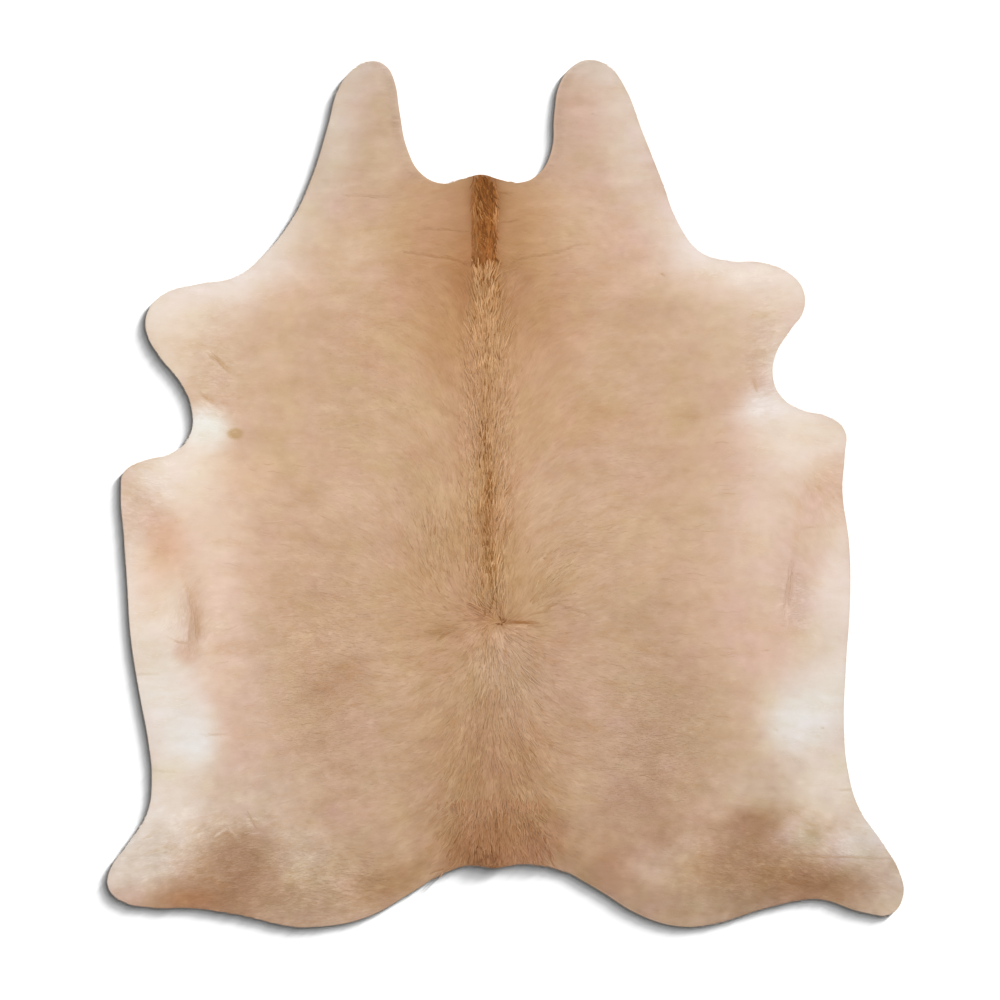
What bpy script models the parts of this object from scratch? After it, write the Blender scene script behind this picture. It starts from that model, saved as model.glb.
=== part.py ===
"""A whole cowhide with its hair on, lying flat with the hair up.

The neck points to +Y and the tail to -Y, and the flesh side lies at z = 0. The hide is cut in one piece, so it is one
solid: the leather with its lying coat, thin at the cut edge and over the belly, thicker over the back, with the mane's
ridge, the hair line of the back and the creases that the skin kept from the animal.
"""

import math
from collections import namedtuple

import bmesh
import bpy
from mathutils import Vector

MM = 0.001

# Thickness of the hide, from the flesh side up
LEATHER = 2.2 * MM
EDGE_COAT = 0.9 * MM
BELLY_COAT = 2.0 * MM
BACK_COAT = 3.4 * MM
RIM_WIDTH = 11 * MM

# The coat is thick over the back and thins towards the belly
BACK_LINE = -44 * MM
THICK_HALF_WIDTH = 180 * MM
THIN_HALF_WIDTH = 700 * MM

# Fineness of the mesh: steps between two landmarks of the edge, and the cells of the upper side
EDGE_STEPS = 4
CELL = 32 * MM

# The ends of the back, in mm from the middle of the hide
POLL = (-60, 772)
TAIL = (-28, -907)

# The cut edge, in mm from the middle of the hide: a row for each landmark from the poll to the tail, on both sides
Landmark = namedtuple("Landmark", "place left_x left_y right_x right_y")
EDGE = (
    Landmark("neck notch, beside the poll", -103, 761, -14, 760),
    Landmark("neck notch, floor", -150, 750, 31, 752),
    Landmark("neck notch, foot of the lobe", -203, 773, 78, 772),
    Landmark("lobe, inner side low", -238, 833, 110, 826),
    Landmark("lobe, inner side", -257, 925, 118, 921),
    Landmark("lobe, inner corner", -270, 1000, 132, 994),
    Landmark("lobe, inner shoulder", -289, 1034, 162, 1034),
    Landmark("lobe, tip", -322, 1047, 205, 1050),
    Landmark("lobe, outer shoulder", -368, 1027, 254, 1030),
    Landmark("lobe, outer corner", -403, 983, 288, 985),
    Landmark("neck, upper side", -431, 887, 330, 879),
    Landmark("neck, lower side", -470, 763, 378, 758),
    Landmark("shoulder", -512, 672, 418, 655),
    Landmark("foreleg, front root", -583, 580, 471, 585),
    Landmark("foreleg, front bend", -655, 524, 540, 563),
    Landmark("foreleg, front edge", -748, 506, 620, 559),
    Landmark("foreleg, front corner", -828, 482, 692, 529),
    Landmark("foreleg, upper tip", -867, 440, 722, 490),
    Landmark("foreleg, lower tip", -870, 392, 721, 440),
    Landmark("foreleg, rear edge", -838, 332, 692, 398),
    Landmark("foreleg, rear root", -787, 268, 655, 338),
    Landmark("armpit, front", -761, 207, 648, 280),
    Landmark("armpit, rear", -766, 137, 668, 234),
    Landmark("flank, front bend", -806, 98, 716, 202),
    Landmark("flank, front edge", -875, 79, 782, 185),
    Landmark("flank, front corner", -925, 50, 822, 151),
    Landmark("flank, below the corner", -932, 5, 822, 95),
    Landmark("flank, upper", -925, -100, 816, 5),
    Landmark("flank, middle", -917, -215, 832, -120),
    Landmark("belly, middle", -908, -350, 835, -250),
    Landmark("belly, rear", -888, -480, 824, -430),
    Landmark("stifle, front", -866, -598, 820, -575),
    Landmark("stifle", -857, -690, 830, -675),
    Landmark("hind leg, front edge", -868, -775, 857, -765),
    Landmark("hind leg, front bend", -915, -850, 912, -846),
    Landmark("hind leg, upper tip", -959, -915, 957, -926),
    Landmark("hind leg, tip", -962, -957, 963, -975),
    Landmark("hind leg, lower tip", -930, -987, 935, -1018),
    Landmark("hind leg, rear edge", -860, -1003, 870, -1016),
    Landmark("hind leg, rear bend", -760, -1005, 755, -983),
    Landmark("rump, side", -640, -1022, 640, -1002),
    Landmark("rump, corner", -530, -1047, 510, -1041),
    Landmark("rump, lowest", -455, -1050, 430, -1050),
    Landmark("rump, rear edge", -340, -1028, 335, -1026),
    Landmark("tail notch, side", -225, -965, 213, -954),
    Landmark("tail notch, bend", -140, -914, 122, -908),
    Landmark("tail notch, beside the tail", -85, -901, 40, -898),
)

# Ridges, which rise above 0, and creases, in mm: each runs from point 1 to point 2 and fades out over its reach
Fold = namedtuple("Fold", "name x1 y1 x2 y2 reach rise")
FOLDS = (
    Fold("mane", -52, 800, -44, 572, 24, 3.6),
    Fold("hair meeting under the mane", -48, 545, -50, 500, 34, 1.9),
    Fold("hair line behind the mane", -48, 470, -50, 190, 30, 1.2),
    Fold("hair line of the back", -45, 190, -40, -60, 22, 1.3),
    Fold("hair line above the whorl", -36, -80, -14, -270, 22, 1.0),
    Fold("whorl", -11, -312, -11, -312, 30, -1.3),
    Fold("crease right of the whorl", 15, -312, 75, -314, 16, -1.1),
    Fold("crease above the whorl, right", 50, -290, 108, -268, 16, -0.7),
    Fold("hair below the whorl", -34, -390, -40, -620, 46, 0.9),
    Fold("tail hair", -40, -800, -40, -895, 60, 1.4),
    Fold("crease left of the mane", -215, 582, -85, 558, 17, -0.9),
    Fold("crease right of the mane", -5, 552, 165, 598, 17, -0.9),
    Fold("upper neck crease, left", -245, 655, -90, 628, 17, -0.6),
    Fold("upper neck crease, right", 0, 620, 95, 632, 17, -0.6),
    Fold("left shoulder swell", -420, 330, -250, 120, 170, 0.9),
    Fold("right shoulder swell", 250, 120, 420, 330, 170, 0.9),
    Fold("left flank fold", -788, -200, -735, -392, 24, 1.5),
    Fold("left flank hollow", -840, -150, -800, -330, 30, -0.7),
    Fold("left flank crease", -815, -352, -752, -368, 16, -0.9),
    Fold("left belly crease", -900, -440, -835, -436, 16, -0.7),
    Fold("left stifle crease", -735, -588, -665, -584, 16, -0.8),
    Fold("right flank fold", 690, 20, 706, -330, 24, 1.5),
    Fold("right flank hollow", 765, 10, 775, -280, 32, -0.7),
    Fold("right flank crease", 722, -84, 822, -86, 16, -0.9),
    Fold("right belly crease", 605, -372, 668, -384, 16, -0.7),
    Fold("right stifle crease", 795, -716, 842, -722, 16, -0.6),
    Fold("right hind leg crease", 705, -876, 930, -884, 18, -0.8),
    Fold("left hind leg swell", -700, -900, -610, -960, 90, 0.8),
    Fold("right hind leg swell", 600, -880, 740, -900, 90, 0.8),
    Fold("left rump swell", -420, -700, -300, -850, 150, 0.7),
    Fold("right rump swell", 280, -850, 400, -700, 150, 0.7),
)


def clear_scene():
    for thing in list(bpy.data.objects):
        bpy.data.objects.remove(thing, do_unlink=True)


def linear(hex_colour):
    """An sRGB hex colour as linear RGBA."""
    parts = (int(hex_colour[i : i + 2], 16) / 255 for i in (1, 3, 5))
    return (*(c / 12.92 if c <= 0.04045 else ((c + 0.055) / 1.055) ** 2.4 for c in parts), 1)


def material(name, colour, roughness):
    made = bpy.data.materials.new(name)
    made.use_nodes = True
    shader = made.node_tree.nodes["Principled BSDF"]
    shader.inputs["Base Color"].default_value = linear(colour)
    shader.inputs["Roughness"].default_value = roughness
    shader.inputs["Metallic"].default_value = 0.0
    return made


def smooth_step(share):
    share = min(max(share, 0), 1)
    return share * share * (3 - 2 * share)


def edge_points():
    """The cut edge's landmarks in order round the hide, from the poll down the right side and up the left."""
    right = [(mark.right_x, mark.right_y) for mark in EDGE]
    left = [(mark.left_x, mark.left_y) for mark in EDGE]
    return [POLL, *right, TAIL, *reversed(left)]


def outline_curve():
    """The hide's outline as a filled 2D curve, as thick as the leather."""
    curve = bpy.data.curves.new("hide outline", "CURVE")
    curve.dimensions = "2D"
    curve.fill_mode = "BOTH"
    curve.resolution_u = EDGE_STEPS
    curve.extrude = LEATHER / 2
    points = edge_points()
    spline = curve.splines.new("BEZIER")
    spline.bezier_points.add(len(points) - 1)
    spline.use_cyclic_u = True
    for point, (x, y) in zip(spline.bezier_points, points):
        point.co = (x * MM, y * MM, 0)
        point.handle_left_type = point.handle_right_type = "AUTO"
    made = bpy.data.objects.new("hide outline", curve)
    made.location.z = LEATHER / 2
    return made


def closed_mesh(curve_object):
    """The curve as one closed mesh, with each flat side as a single face. The curve is removed."""
    bpy.context.scene.collection.objects.link(curve_object)
    bpy.context.view_layer.update()
    evaluated = curve_object.evaluated_get(bpy.context.evaluated_depsgraph_get())
    mesh = bpy.data.meshes.new_from_object(evaluated)
    shell = bmesh.new()
    shell.from_mesh(mesh)
    shell.transform(curve_object.matrix_world)
    bpy.data.meshes.remove(mesh)
    bpy.data.objects.remove(curve_object, do_unlink=True)
    bmesh.ops.remove_doubles(shell, verts=shell.verts, dist=0.00001)
    flat = [edge for edge in shell.edges if all(abs(face.normal.z) > 0.99 for face in edge.link_faces)]
    bmesh.ops.dissolve_edges(shell, edges=flat, use_verts=False)
    bmesh.ops.recalc_face_normals(shell, faces=shell.faces)
    return shell


def upper_faces(shell):
    return [face for face in shell.faces if face.normal.z > 0.5]


def cut_into_cells(shell):
    """Cuts the upper side into even cells, which the relief then lifts."""
    xs = [vert.co.x for vert in shell.verts]
    ys = [vert.co.y for vert in shell.verts]
    for axis, low, high in ((Vector((1, 0, 0)), min(xs), max(xs)), (Vector((0, 1, 0)), min(ys), max(ys))):
        count = math.ceil((high - low) / CELL)
        for step in range(1, count):
            place = axis * (low + (high - low) * step / count)
            faces = upper_faces(shell)
            near = {edge for face in faces for edge in face.edges}
            corners = {vert for face in faces for vert in face.verts}
            bmesh.ops.bisect_plane(shell, geom=[*corners, *near, *faces], dist=0.00002, plane_co=place, plane_no=axis)


def distance(x, y, fold):
    """How far a point is from a fold's line, in mm."""
    run_x = fold.x2 - fold.x1
    run_y = fold.y2 - fold.y1
    squared = run_x * run_x + run_y * run_y
    share = ((x - fold.x1) * run_x + (y - fold.y1) * run_y) / squared if squared else 0
    share = min(max(share, 0), 1)
    return math.hypot(x - fold.x1 - share * run_x, y - fold.y1 - share * run_y)


def height(x, y):
    """Height of the lying coat over the flesh side, away from the cut edge."""
    from_back = abs(x - BACK_LINE)
    thinning = smooth_step((from_back - THICK_HALF_WIDTH) / (THIN_HALF_WIDTH - THICK_HALF_WIDTH))
    coat = BACK_COAT + (BELLY_COAT - BACK_COAT) * thinning
    folds = sum(fold.rise * math.exp(-((distance(x / MM, y / MM, fold) / fold.reach) ** 2)) for fold in FOLDS)
    return LEATHER + coat + folds * MM


def shape_upper_side(shell):
    """Lifts the upper side to the coat's height, but for the cut edge, where the coat is thin."""
    upper = {vert for face in upper_faces(shell) for vert in face.verts}
    for vert in upper:
        on_edge = any(edge.other_vert(vert) not in upper for edge in vert.link_edges)
        vert.co.z = LEATHER + EDGE_COAT if on_edge else height(vert.co.x, vert.co.y)


def centre(shell):
    """Moves the hide so that the middle of its box is over the origin."""
    for axis in (Vector((1, 0, 0)), Vector((0, 1, 0))):
        places = [vert.co @ axis for vert in shell.verts]
        bmesh.ops.translate(shell, verts=shell.verts, vec=axis * -0.5 * (min(places) + max(places)))


def hide():
    shell = closed_mesh(outline_curve())
    bmesh.ops.inset_region(
        shell, faces=upper_faces(shell), thickness=RIM_WIDTH, use_even_offset=True, use_boundary=True
    )
    cut_into_cells(shell)
    shape_upper_side(shell)
    centre(shell)
    bmesh.ops.triangulate(shell, faces=shell.faces, quad_method="BEAUTY", ngon_method="BEAUTY")
    mesh = bpy.data.meshes.new("cowhide")
    shell.to_mesh(mesh)
    shell.free()
    made = bpy.data.objects.new("cowhide", mesh)
    made.data.materials.append(material("hair-on cowhide", "#CDAE8D", 0.75))
    mesh.shade_smooth()
    mesh.set_sharp_from_angle(angle=math.radians(40))
    return made


clear_scene()
parts = bpy.data.collections.new("Cowhide")
bpy.context.scene.collection.children.link(parts)
parts.objects.link(hide())
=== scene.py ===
import math
from collections import namedtuple

import bmesh
import bpy
import numpy as np
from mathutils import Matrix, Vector
from mathutils.bvhtree import BVHTree


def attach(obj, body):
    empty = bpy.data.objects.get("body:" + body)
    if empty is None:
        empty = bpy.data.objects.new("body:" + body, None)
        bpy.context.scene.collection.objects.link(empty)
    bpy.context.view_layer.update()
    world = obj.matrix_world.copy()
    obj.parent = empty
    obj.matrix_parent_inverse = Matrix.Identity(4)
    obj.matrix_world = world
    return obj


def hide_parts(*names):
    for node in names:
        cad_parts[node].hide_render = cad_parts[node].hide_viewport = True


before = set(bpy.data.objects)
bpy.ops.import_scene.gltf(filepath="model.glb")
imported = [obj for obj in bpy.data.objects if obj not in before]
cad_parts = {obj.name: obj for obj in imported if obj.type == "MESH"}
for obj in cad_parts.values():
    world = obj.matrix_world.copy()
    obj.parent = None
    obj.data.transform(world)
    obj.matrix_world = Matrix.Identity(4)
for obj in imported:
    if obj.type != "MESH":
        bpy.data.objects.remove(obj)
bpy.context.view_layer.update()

scene = bpy.context.scene


# The camera hangs straight above the hide, neck at the top, on a long lens, so that the flat hide keeps its
# outline. The picture takes in a square of floor with a narrow margin round the hide.
PICTURE_WIDTH = 2.4233  # m of floor
PICTURE_MIDDLE = (-0.0136, -0.0160)
LENS = 100  # mm, as is the sensor
SENSOR = 36

lens = bpy.data.cameras.new("long lens")
lens.lens = LENS
lens.sensor_width = SENSOR
camera = bpy.data.objects.new("camera over the hide", lens)
camera.location = (*PICTURE_MIDDLE, PICTURE_WIDTH * LENS / SENSOR)
scene.collection.objects.link(camera)
scene.camera = camera
scene.view_settings.view_transform = "Standard"


# The studio is a white floor under soft lamps. The floor's own lamps stand low at the upper right, so
# that the thin hide throws a short soft shadow to the lower left. The hide's lamps stand high, so that
# its hair stays calm.
FLOOR_HALF_WIDTH = 30  # m
FLOOR_SHADE = "#F4F4F4"


def rgb(hex_colour):
    """An sRGB hex colour as three numbers from 0 to 1."""
    return np.array([int(hex_colour[i : i + 2], 16) / 255 for i in (1, 3, 5)])


def to_linear(srgb):
    return np.where(srgb <= 0.04045, srgb / 12.92, ((np.maximum(srgb, 0) + 0.055) / 1.055) ** 2.4)


def linear(hex_colour):
    """An sRGB hex colour as linear RGBA."""
    return (*to_linear(rgb(hex_colour)), 1)


def add_node(tree, kind, inputs=(), **settings):
    """Adds one node with its settings. An input takes a value, or another node's output, which is linked."""
    node = tree.nodes.new(kind)
    for name, value in settings.items():
        setattr(node, name, value)
    for name, value in dict(inputs).items():
        if isinstance(value, bpy.types.NodeSocket):
            tree.links.new(value, node.inputs[name])
        else:
            node.inputs[name].default_value = value
    return node


def new_material(name):
    """An empty node material, and its tree."""
    made = bpy.data.materials.new(name)
    made.use_nodes = True
    made.node_tree.nodes.clear()
    return made, made.node_tree


def finish_material(tree, colour, roughness, gloss, **more):
    """Ends a material with its surface. The colour is linear RGBA, or another node's output."""
    inputs = {"Base Color": colour, "Roughness": roughness, "Specular IOR Level": gloss, **more}
    surface = add_node(tree, "ShaderNodeBsdfPrincipled", inputs)
    add_node(tree, "ShaderNodeOutputMaterial", {"Surface": surface.outputs["BSDF"]})


def piece_from(shape, name, *materials):
    """A bmesh as an object with its materials. The bmesh is freed."""
    mesh = bpy.data.meshes.new(name)
    shape.to_mesh(mesh)
    shape.free()
    made = bpy.data.objects.new(name, mesh)
    for material in materials:
        mesh.materials.append(material)
    scene.collection.objects.link(made)
    return made


paper, tree = new_material("white paper sweep")
finish_material(tree, linear(FLOOR_SHADE), roughness=0.9, gloss=0.0)
shape = bmesh.new()
bmesh.ops.create_grid(shape, x_segments=1, y_segments=1, size=FLOOR_HALF_WIDTH)
floor = piece_from(shape, "studio_floor", paper)

world = bpy.data.worlds.new("pale studio")
world.use_nodes = True
world.node_tree.nodes["Background"].inputs["Color"].default_value = linear("#F2F2F2")
world.cycles_visibility.diffuse = False
world.cycles_visibility.glossy = False
scene.world = world

only_floor = bpy.data.collections.new("lit by the low lamps")
only_floor.objects.link(floor)
all_but_floor = bpy.data.collections.new("lit by the high lamps")
all_but_floor.objects.link(floor)
all_but_floor.collection_objects[0].light_linking.link_state = "EXCLUDE"

LAMP_COLOUR = "#FEFDFE"
Lamp = namedtuple("Lamp", "name azimuth elevation softness strength lights")  # the angles in degrees
LAMPS = (
    Lamp("low lamp at the upper right", 45, 4.3, 3.4, 25.9, only_floor),
    Lamp("lamp above it", 45, 8, 6, 6.97, only_floor),
    Lamp("wide lamp above both", 45, 18, 17, 1.88, only_floor),
    Lamp("glow over the floor", 45, 90, 180, 0.39, only_floor),
    Lamp("window at the upper right", 48, 48, 30, 1.24, all_but_floor),
    Lamp("white ceiling", 45, 90, 180, 2.41, all_but_floor),
)
for lamp in LAMPS:
    light = bpy.data.lights.new(lamp.name, "SUN")
    light.energy = lamp.strength
    light.angle = math.radians(lamp.softness)
    if lamp.lights is all_but_floor:
        light.color = linear(LAMP_COLOUR)[:3]
    made = bpy.data.objects.new(lamp.name, light)
    turn = math.radians(lamp.azimuth)
    height = math.radians(lamp.elevation)
    across = math.cos(height)
    towards = Vector((across * math.cos(turn), across * math.sin(turn), math.sin(height)))
    made.rotation_euler = towards.to_track_quat("Z", "Y").to_euler()
    made.light_linking.receiver_collection = lamp.lights
    scene.collection.objects.link(made)


# The hide is one whole skin, tanned with its hair on and cut round with a knife: 2 mm of supple leather,
# suede underneath, thicker along the back. It lies flat, but keeps the soft ridges and creases of the
# animal's skin.
MM = 0.001
LEATHER = 2.2  # mm, at the cut edge
EDGE_COAT = 0.9  # mm, over the leather
EDGE_FADE = 70  # mm from the cut edge, to where the coat is as high as the solid
EDGE_THIN = 14  # mm from the cut edge, to where the skin is as high as its ground
SMOOTH_GROUND = 0.95  # of what the solid has over the leather. The rest is the lying coat
RUFFLED_GROUND = 0.3
RUFFLE_AT_GROUND = 0.6  # how ruffled a coat is, from where its ruffling lowers the ground in full
CELL = 16  # mm, of the hide's upper side
RIM_STEPS = (2.5, 4.5, 6.0)  # mm, from the cut edge inwards
FIELD_STEP = 8  # mm, between the places where the hide's height and its way to the edge are kept
FIELD_MARGIN = 40  # mm, outside the hide
LOOKS_UP = 0.5  # height of a face's normal, above which it belongs to the upper side
SAME_PLACE = 0.00001  # m, within which the solid's corners are one
FAR = 1e9  # more than any square of a way on the hide


def merged_copy(node):
    """The CAD node's loose triangles as one closed mesh."""
    made = bmesh.new()
    made.from_mesh(node.data)
    bmesh.ops.remove_doubles(made, verts=made.verts, dist=SAME_PLACE)
    return made


def finer(loop):
    """A closed line with twice the points, on a smooth curve through those it had."""
    between = 9 * (loop + np.roll(loop, -1, 0)) - np.roll(loop, 1, 0) - np.roll(loop, -2, 0)
    return np.stack([loop, between / 16], 1).reshape(-1, 2)


solid = merged_copy(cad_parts["cowhide"])
solid_tree = BVHTree.FromBMesh(solid)
others = [face for face in solid.faces if face.normal.z > -LOOKS_UP]
bmesh.ops.delete(solid, geom=others, context="FACES")
flesh_side = bmesh.ops.dissolve_faces(solid, faces=solid.faces, use_verts=False)["region"][0]
cut_edge = finer(np.array([vert.co.xy for vert in flesh_side.verts]) / MM)
solid.free()

field_low = cut_edge.min(0) - FIELD_MARGIN
field_count = np.ceil((np.ptp(cut_edge, 0) + 2 * FIELD_MARGIN) / FIELD_STEP).astype(int) + 1
field_x = field_low[0] + FIELD_STEP * np.arange(field_count[0])[:, None] + np.zeros(field_count[1])
field_y = field_low[1] + FIELD_STEP * np.arange(field_count[1])[None, :] + np.zeros((field_count[0], 1))


def way_to_edge(x, y):
    """How far places are from the cut edge, in mm, above 0 on the hide and below 0 beside it."""
    nearest = np.full(x.shape, FAR)
    inside = np.zeros(x.shape, bool)
    for (x1, y1), (x2, y2) in zip(cut_edge, np.roll(cut_edge, -1, 0)):
        run_x, run_y = x2 - x1, y2 - y1
        share = np.clip(((x - x1) * run_x + (y - y1) * run_y) / (run_x * run_x + run_y * run_y), 0, 1)
        nearest = np.minimum(nearest, (x - x1 - share * run_x) ** 2 + (y - y1 - share * run_y) ** 2)
        if y1 != y2:
            inside ^= ((y1 > y) != (y2 > y)) & (x < x1 + (y - y1) * run_x / run_y)
    return np.where(inside, 1, -1) * np.sqrt(nearest)


def solid_top(x, y):
    """Height of the solid at a place, in mm, and the thin edge's height beside it."""
    hit = solid_tree.ray_cast(Vector((x * MM, y * MM, 1)), Vector((0, 0, -1)))[0]
    return hit.z / MM if hit else LEATHER + EDGE_COAT


def softened(grid, rounds):
    """A grid of heights with its steps smoothed out."""
    for _ in range(rounds):
        edged = np.pad(grid, 1, mode="edge")
        sides = edged[:-2, 1:-1] + edged[2:, 1:-1] + edged[1:-1, :-2] + edged[1:-1, 2:]
        grid = grid / 2 + sides / 8
    return grid


INSIDE = 1.001  # taken off a grid's count of points, so that a place always has a point past it


def read_grid(grid, low, step, x, y):
    """The value of a grid at places between its points."""
    across = np.clip((np.asarray(x) - low[0]) / step, 0, grid.shape[0] - INSIDE)
    up = np.clip((np.asarray(y) - low[1]) / step, 0, grid.shape[1] - INSIDE)
    i, j = across.astype(int), up.astype(int)
    a, b = across - i, up - j
    lower = grid[i, j] * (1 - a) + grid[i + 1, j] * a
    upper = grid[i, j + 1] * (1 - a) + grid[i + 1, j + 1] * a
    return lower * (1 - b) + upper * b


edge_field = way_to_edge(field_x, field_y)
top_field = softened(np.vectorize(solid_top)(field_x, field_y), rounds=2)


def edge_distance(x, y):
    return read_grid(edge_field, field_low, FIELD_STEP, x, y)


def smooth_step(share):
    share = np.clip(share, 0, 1)
    return share * share * (3 - 2 * share)


def coat_top(x, y):
    """Height of the lying coat, in mm. It is short and thin at the cut edge."""
    thin = LEATHER + EDGE_COAT
    over_thin = read_grid(top_field, field_low, FIELD_STEP, x, y) - thin
    return thin + over_thin * smooth_step(edge_distance(x, y) / EDGE_FADE)


def oval(zone, x, y):
    """How far places are from a zone's middle, 1 at its half widths."""
    turn = math.radians(zone.turn)
    along = ((x - zone.x) * math.cos(turn) + (y - zone.y) * math.sin(turn)) / zone.half_x
    across = ((y - zone.y) * math.cos(turn) - (x - zone.x) * math.sin(turn)) / zone.half_y
    return np.hypot(along, across)


def share_of(zone, x, y):
    """A zone's share at places: 1 in its middle, half at its half widths, 0 beyond its soft edge."""
    return 1 - smooth_step((oval(zone, x, y) - 1 + zone.soft) / (2 * zone.soft))


# Along the back, round the whorl and on the tail the locks stand apart. On the sides and the belly they
# lie so close that the coat is as smooth as velvet, and only fine streaks show.
SMOOTH_COAT = 0.19
Ruffle = namedtuple("Ruffle", "name x y half_x half_y amount soft turn", defaults=(0.9, 0))
RUFFLES = [Ruffle(*row) for row in (
    ("sides", -60, -180, 520, 700, 0.27, 0.6),
    ("neck and withers", -50, 420, 250, 420, 0.36),
    ("loin and croup", -60, -420, 330, 420, 0.42),
    ("left side, low", -420, -420, 170, 200, 0.42, 1.0),
    ("right side, low", 360, -580, 160, 150, 0.42, 1.0),
    ("left rump", -450, -970, 240, 90, 0.6),
    ("left hind leg", -680, -890, 220, 110, 0.58),
    ("right hind leg", 680, -910, 240, 110, 0.58),
    ("left flank fold", -750, -310, 60, 90, 0.45),
    ("right flank fold", 690, -260, 45, 100, 0.42),
    ("right flank corner", 780, 20, 55, 60, 0.48),
    ("round the spine", -40, -120, 80, 640, 0.52),
    ("left of the whorl", -165, -130, 70, 120, 0.5, 1.0),
    ("right of the whorl", 125, -180, 60, 110, 0.5, 1.0),
    ("left of the whorl's middle", -45, -296, 45, 34, 0.34, 0.8),
    ("croup", -30, -640, 140, 330, 0.62, 0.8),
    ("tail", -20, -860, 100, 90, 0.88, 0.8),
    ("spine", -42, 70, 46, 480, 1.0, 0.7),
    ("beside the mane", -50, 680, 120, 130, 0.25),
    ("left foreleg, inner", -700, 300, 60, 110, 0.5),
    ("right foreleg, hind edge", 620, 330, 50, 130, 0.5),
    ("left flank corner", -880, -20, 70, 110, 0.5),
)]


def ruffled(x, y):
    """How much the coat is ruffled at places in mm, from 0 to 1."""
    made = np.full(len(x), SMOOTH_COAT)
    for ruffle in RUFFLES:
        made += (ruffle.amount - made) * share_of(ruffle, x, y)
    return made


LOOSE_TIMES = 1.25  # how fast the locks get looser as the coat gets more ruffled
LOOSE_LESS = 0.15
LEAST_LOOSE = 0.06


def looseness(x, y):
    """How far the locks stand apart at places in mm, from nearly 0 where the coat is smooth to 1."""
    return np.clip(LOOSE_TIMES * ruffled(x, y) - LOOSE_LESS, LEAST_LOOSE, 1)


def skin_top(x, y):
    """Height of the leather's upper side with its underfur, in mm. It thins a little at the cut edge."""
    rough = ruffled(x, y)
    share = SMOOTH_GROUND + (RUFFLED_GROUND - SMOOTH_GROUND) * rough * smooth_step(rough / RUFFLE_AT_GROUND)
    over = share * (coat_top(x, y) - LEATHER)
    return LEATHER + over * smooth_step(edge_distance(x, y) / EDGE_THIN)


shape = bmesh.new()
rim = [shape.verts.new((x * MM, y * MM, 0)) for x, y in cut_edge]
shape.faces.new(rim)
bmesh.ops.recalc_face_normals(shape, faces=shape.faces)
if shape.faces[:][0].normal.z > 0:
    bmesh.ops.reverse_faces(shape, faces=shape.faces)
raised = bmesh.ops.extrude_face_region(shape, geom=shape.faces[:], use_keep_orig=True)["geom"]
raised = [part for part in raised if isinstance(part, bmesh.types.BMVert)]
bmesh.ops.translate(shape, verts=raised, vec=(0, 0, LEATHER * MM))
bmesh.ops.recalc_face_normals(shape, faces=shape.faces)


CUT_WITHIN = 0.00002  # m, within which a corner is on the cut
PAST_CUT = 0.00003  # m, by which a face that is done may pass it


def upper_faces():
    return [face for face in shape.faces if face.normal.z > LOOKS_UP]


def widest_face():
    return max(upper_faces(), key=lambda face: face.calc_area())


for width in RIM_STEPS:
    bmesh.ops.inset_region(
        shape, faces=[widest_face()], thickness=width * MM, use_even_offset=True, use_boundary=True
    )
to_cut = {widest_face()}
for axis in (Vector((1, 0, 0)), Vector((0, 1, 0))):
    places = [vert.co @ axis for face in to_cut for vert in face.verts]
    count = math.ceil((max(places) - min(places)) / (CELL * MM))
    waiting, ready = set(to_cut), set()
    for step in range(1, count):
        place = min(places) + (max(places) - min(places)) * step / count
        edges = {edge for face in waiting for edge in face.edges}
        corners = {vert for face in waiting for vert in face.verts}
        cut = bmesh.ops.bisect_plane(
            shape, geom=[*corners, *edges, *waiting], dist=CUT_WITHIN, plane_co=axis * place, plane_no=axis
        )
        faces = {face for face in cut["geom"] if isinstance(face, bmesh.types.BMFace)}
        done = {face for face in faces if max(vert.co @ axis for vert in face.verts) < place + PAST_CUT}
        ready |= done
        waiting = faces - done
    to_cut = ready | waiting
upper = list({vert for face in upper_faces() for vert in face.verts})
places = np.array([vert.co.xy for vert in upper]) / MM
for vert, z in zip(upper, skin_top(*places.T)):
    vert.co.z = z * MM
bmesh.ops.triangulate(shape, faces=shape.faces)
for face in shape.faces:
    face.smooth = face.normal.z > LOOKS_UP
    face.material_index = 0 if face.smooth else 1


def coat_material(name, roughness, gloss):
    """A material in the colours that a mesh keeps on its points."""
    made, tree = new_material(name)
    stored = add_node(tree, "ShaderNodeVertexColor", layer_name="coat")
    finish_material(tree, stored.outputs["Color"], roughness, gloss)
    return made


# Grain side: chrome-tanned skin, seen only as a glint between the hairs. It takes the coat's colour, with
# painted shade where the locks stand apart.
skin_material = coat_material("tanned skin under the coat", roughness=0.8, gloss=0.3)

# Flesh side and cut edge: buffed suede, matt and pale, with a short soft nap.
suede, tree = new_material("buffed suede flesh side")
place = add_node(tree, "ShaderNodeTexCoord").outputs["Object"]
nap = add_node(tree, "ShaderNodeTexNoise", {"Vector": place, "Scale": 900, "Detail": 3})
patches = add_node(tree, "ShaderNodeTexNoise", {"Vector": place, "Scale": 9, "Detail": 4})
shade = add_node(tree, "ShaderNodeMixRGB", {
    "Fac": patches.outputs["Fac"],
    "Color1": linear("#C9B090"),
    "Color2": linear("#DCC8AC"),
})
bump = add_node(tree, "ShaderNodeBump", {"Height": nap.outputs["Fac"], "Strength": 0.5, "Distance": 0.0004})
finish_material(tree, shade.outputs["Color"], roughness=0.95, gloss=0.1, Normal=bump.outputs["Normal"])
hide = piece_from(shape, "tanned_hide", skin_material, suede)
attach(hide, "root")
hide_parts("cowhide")


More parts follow.
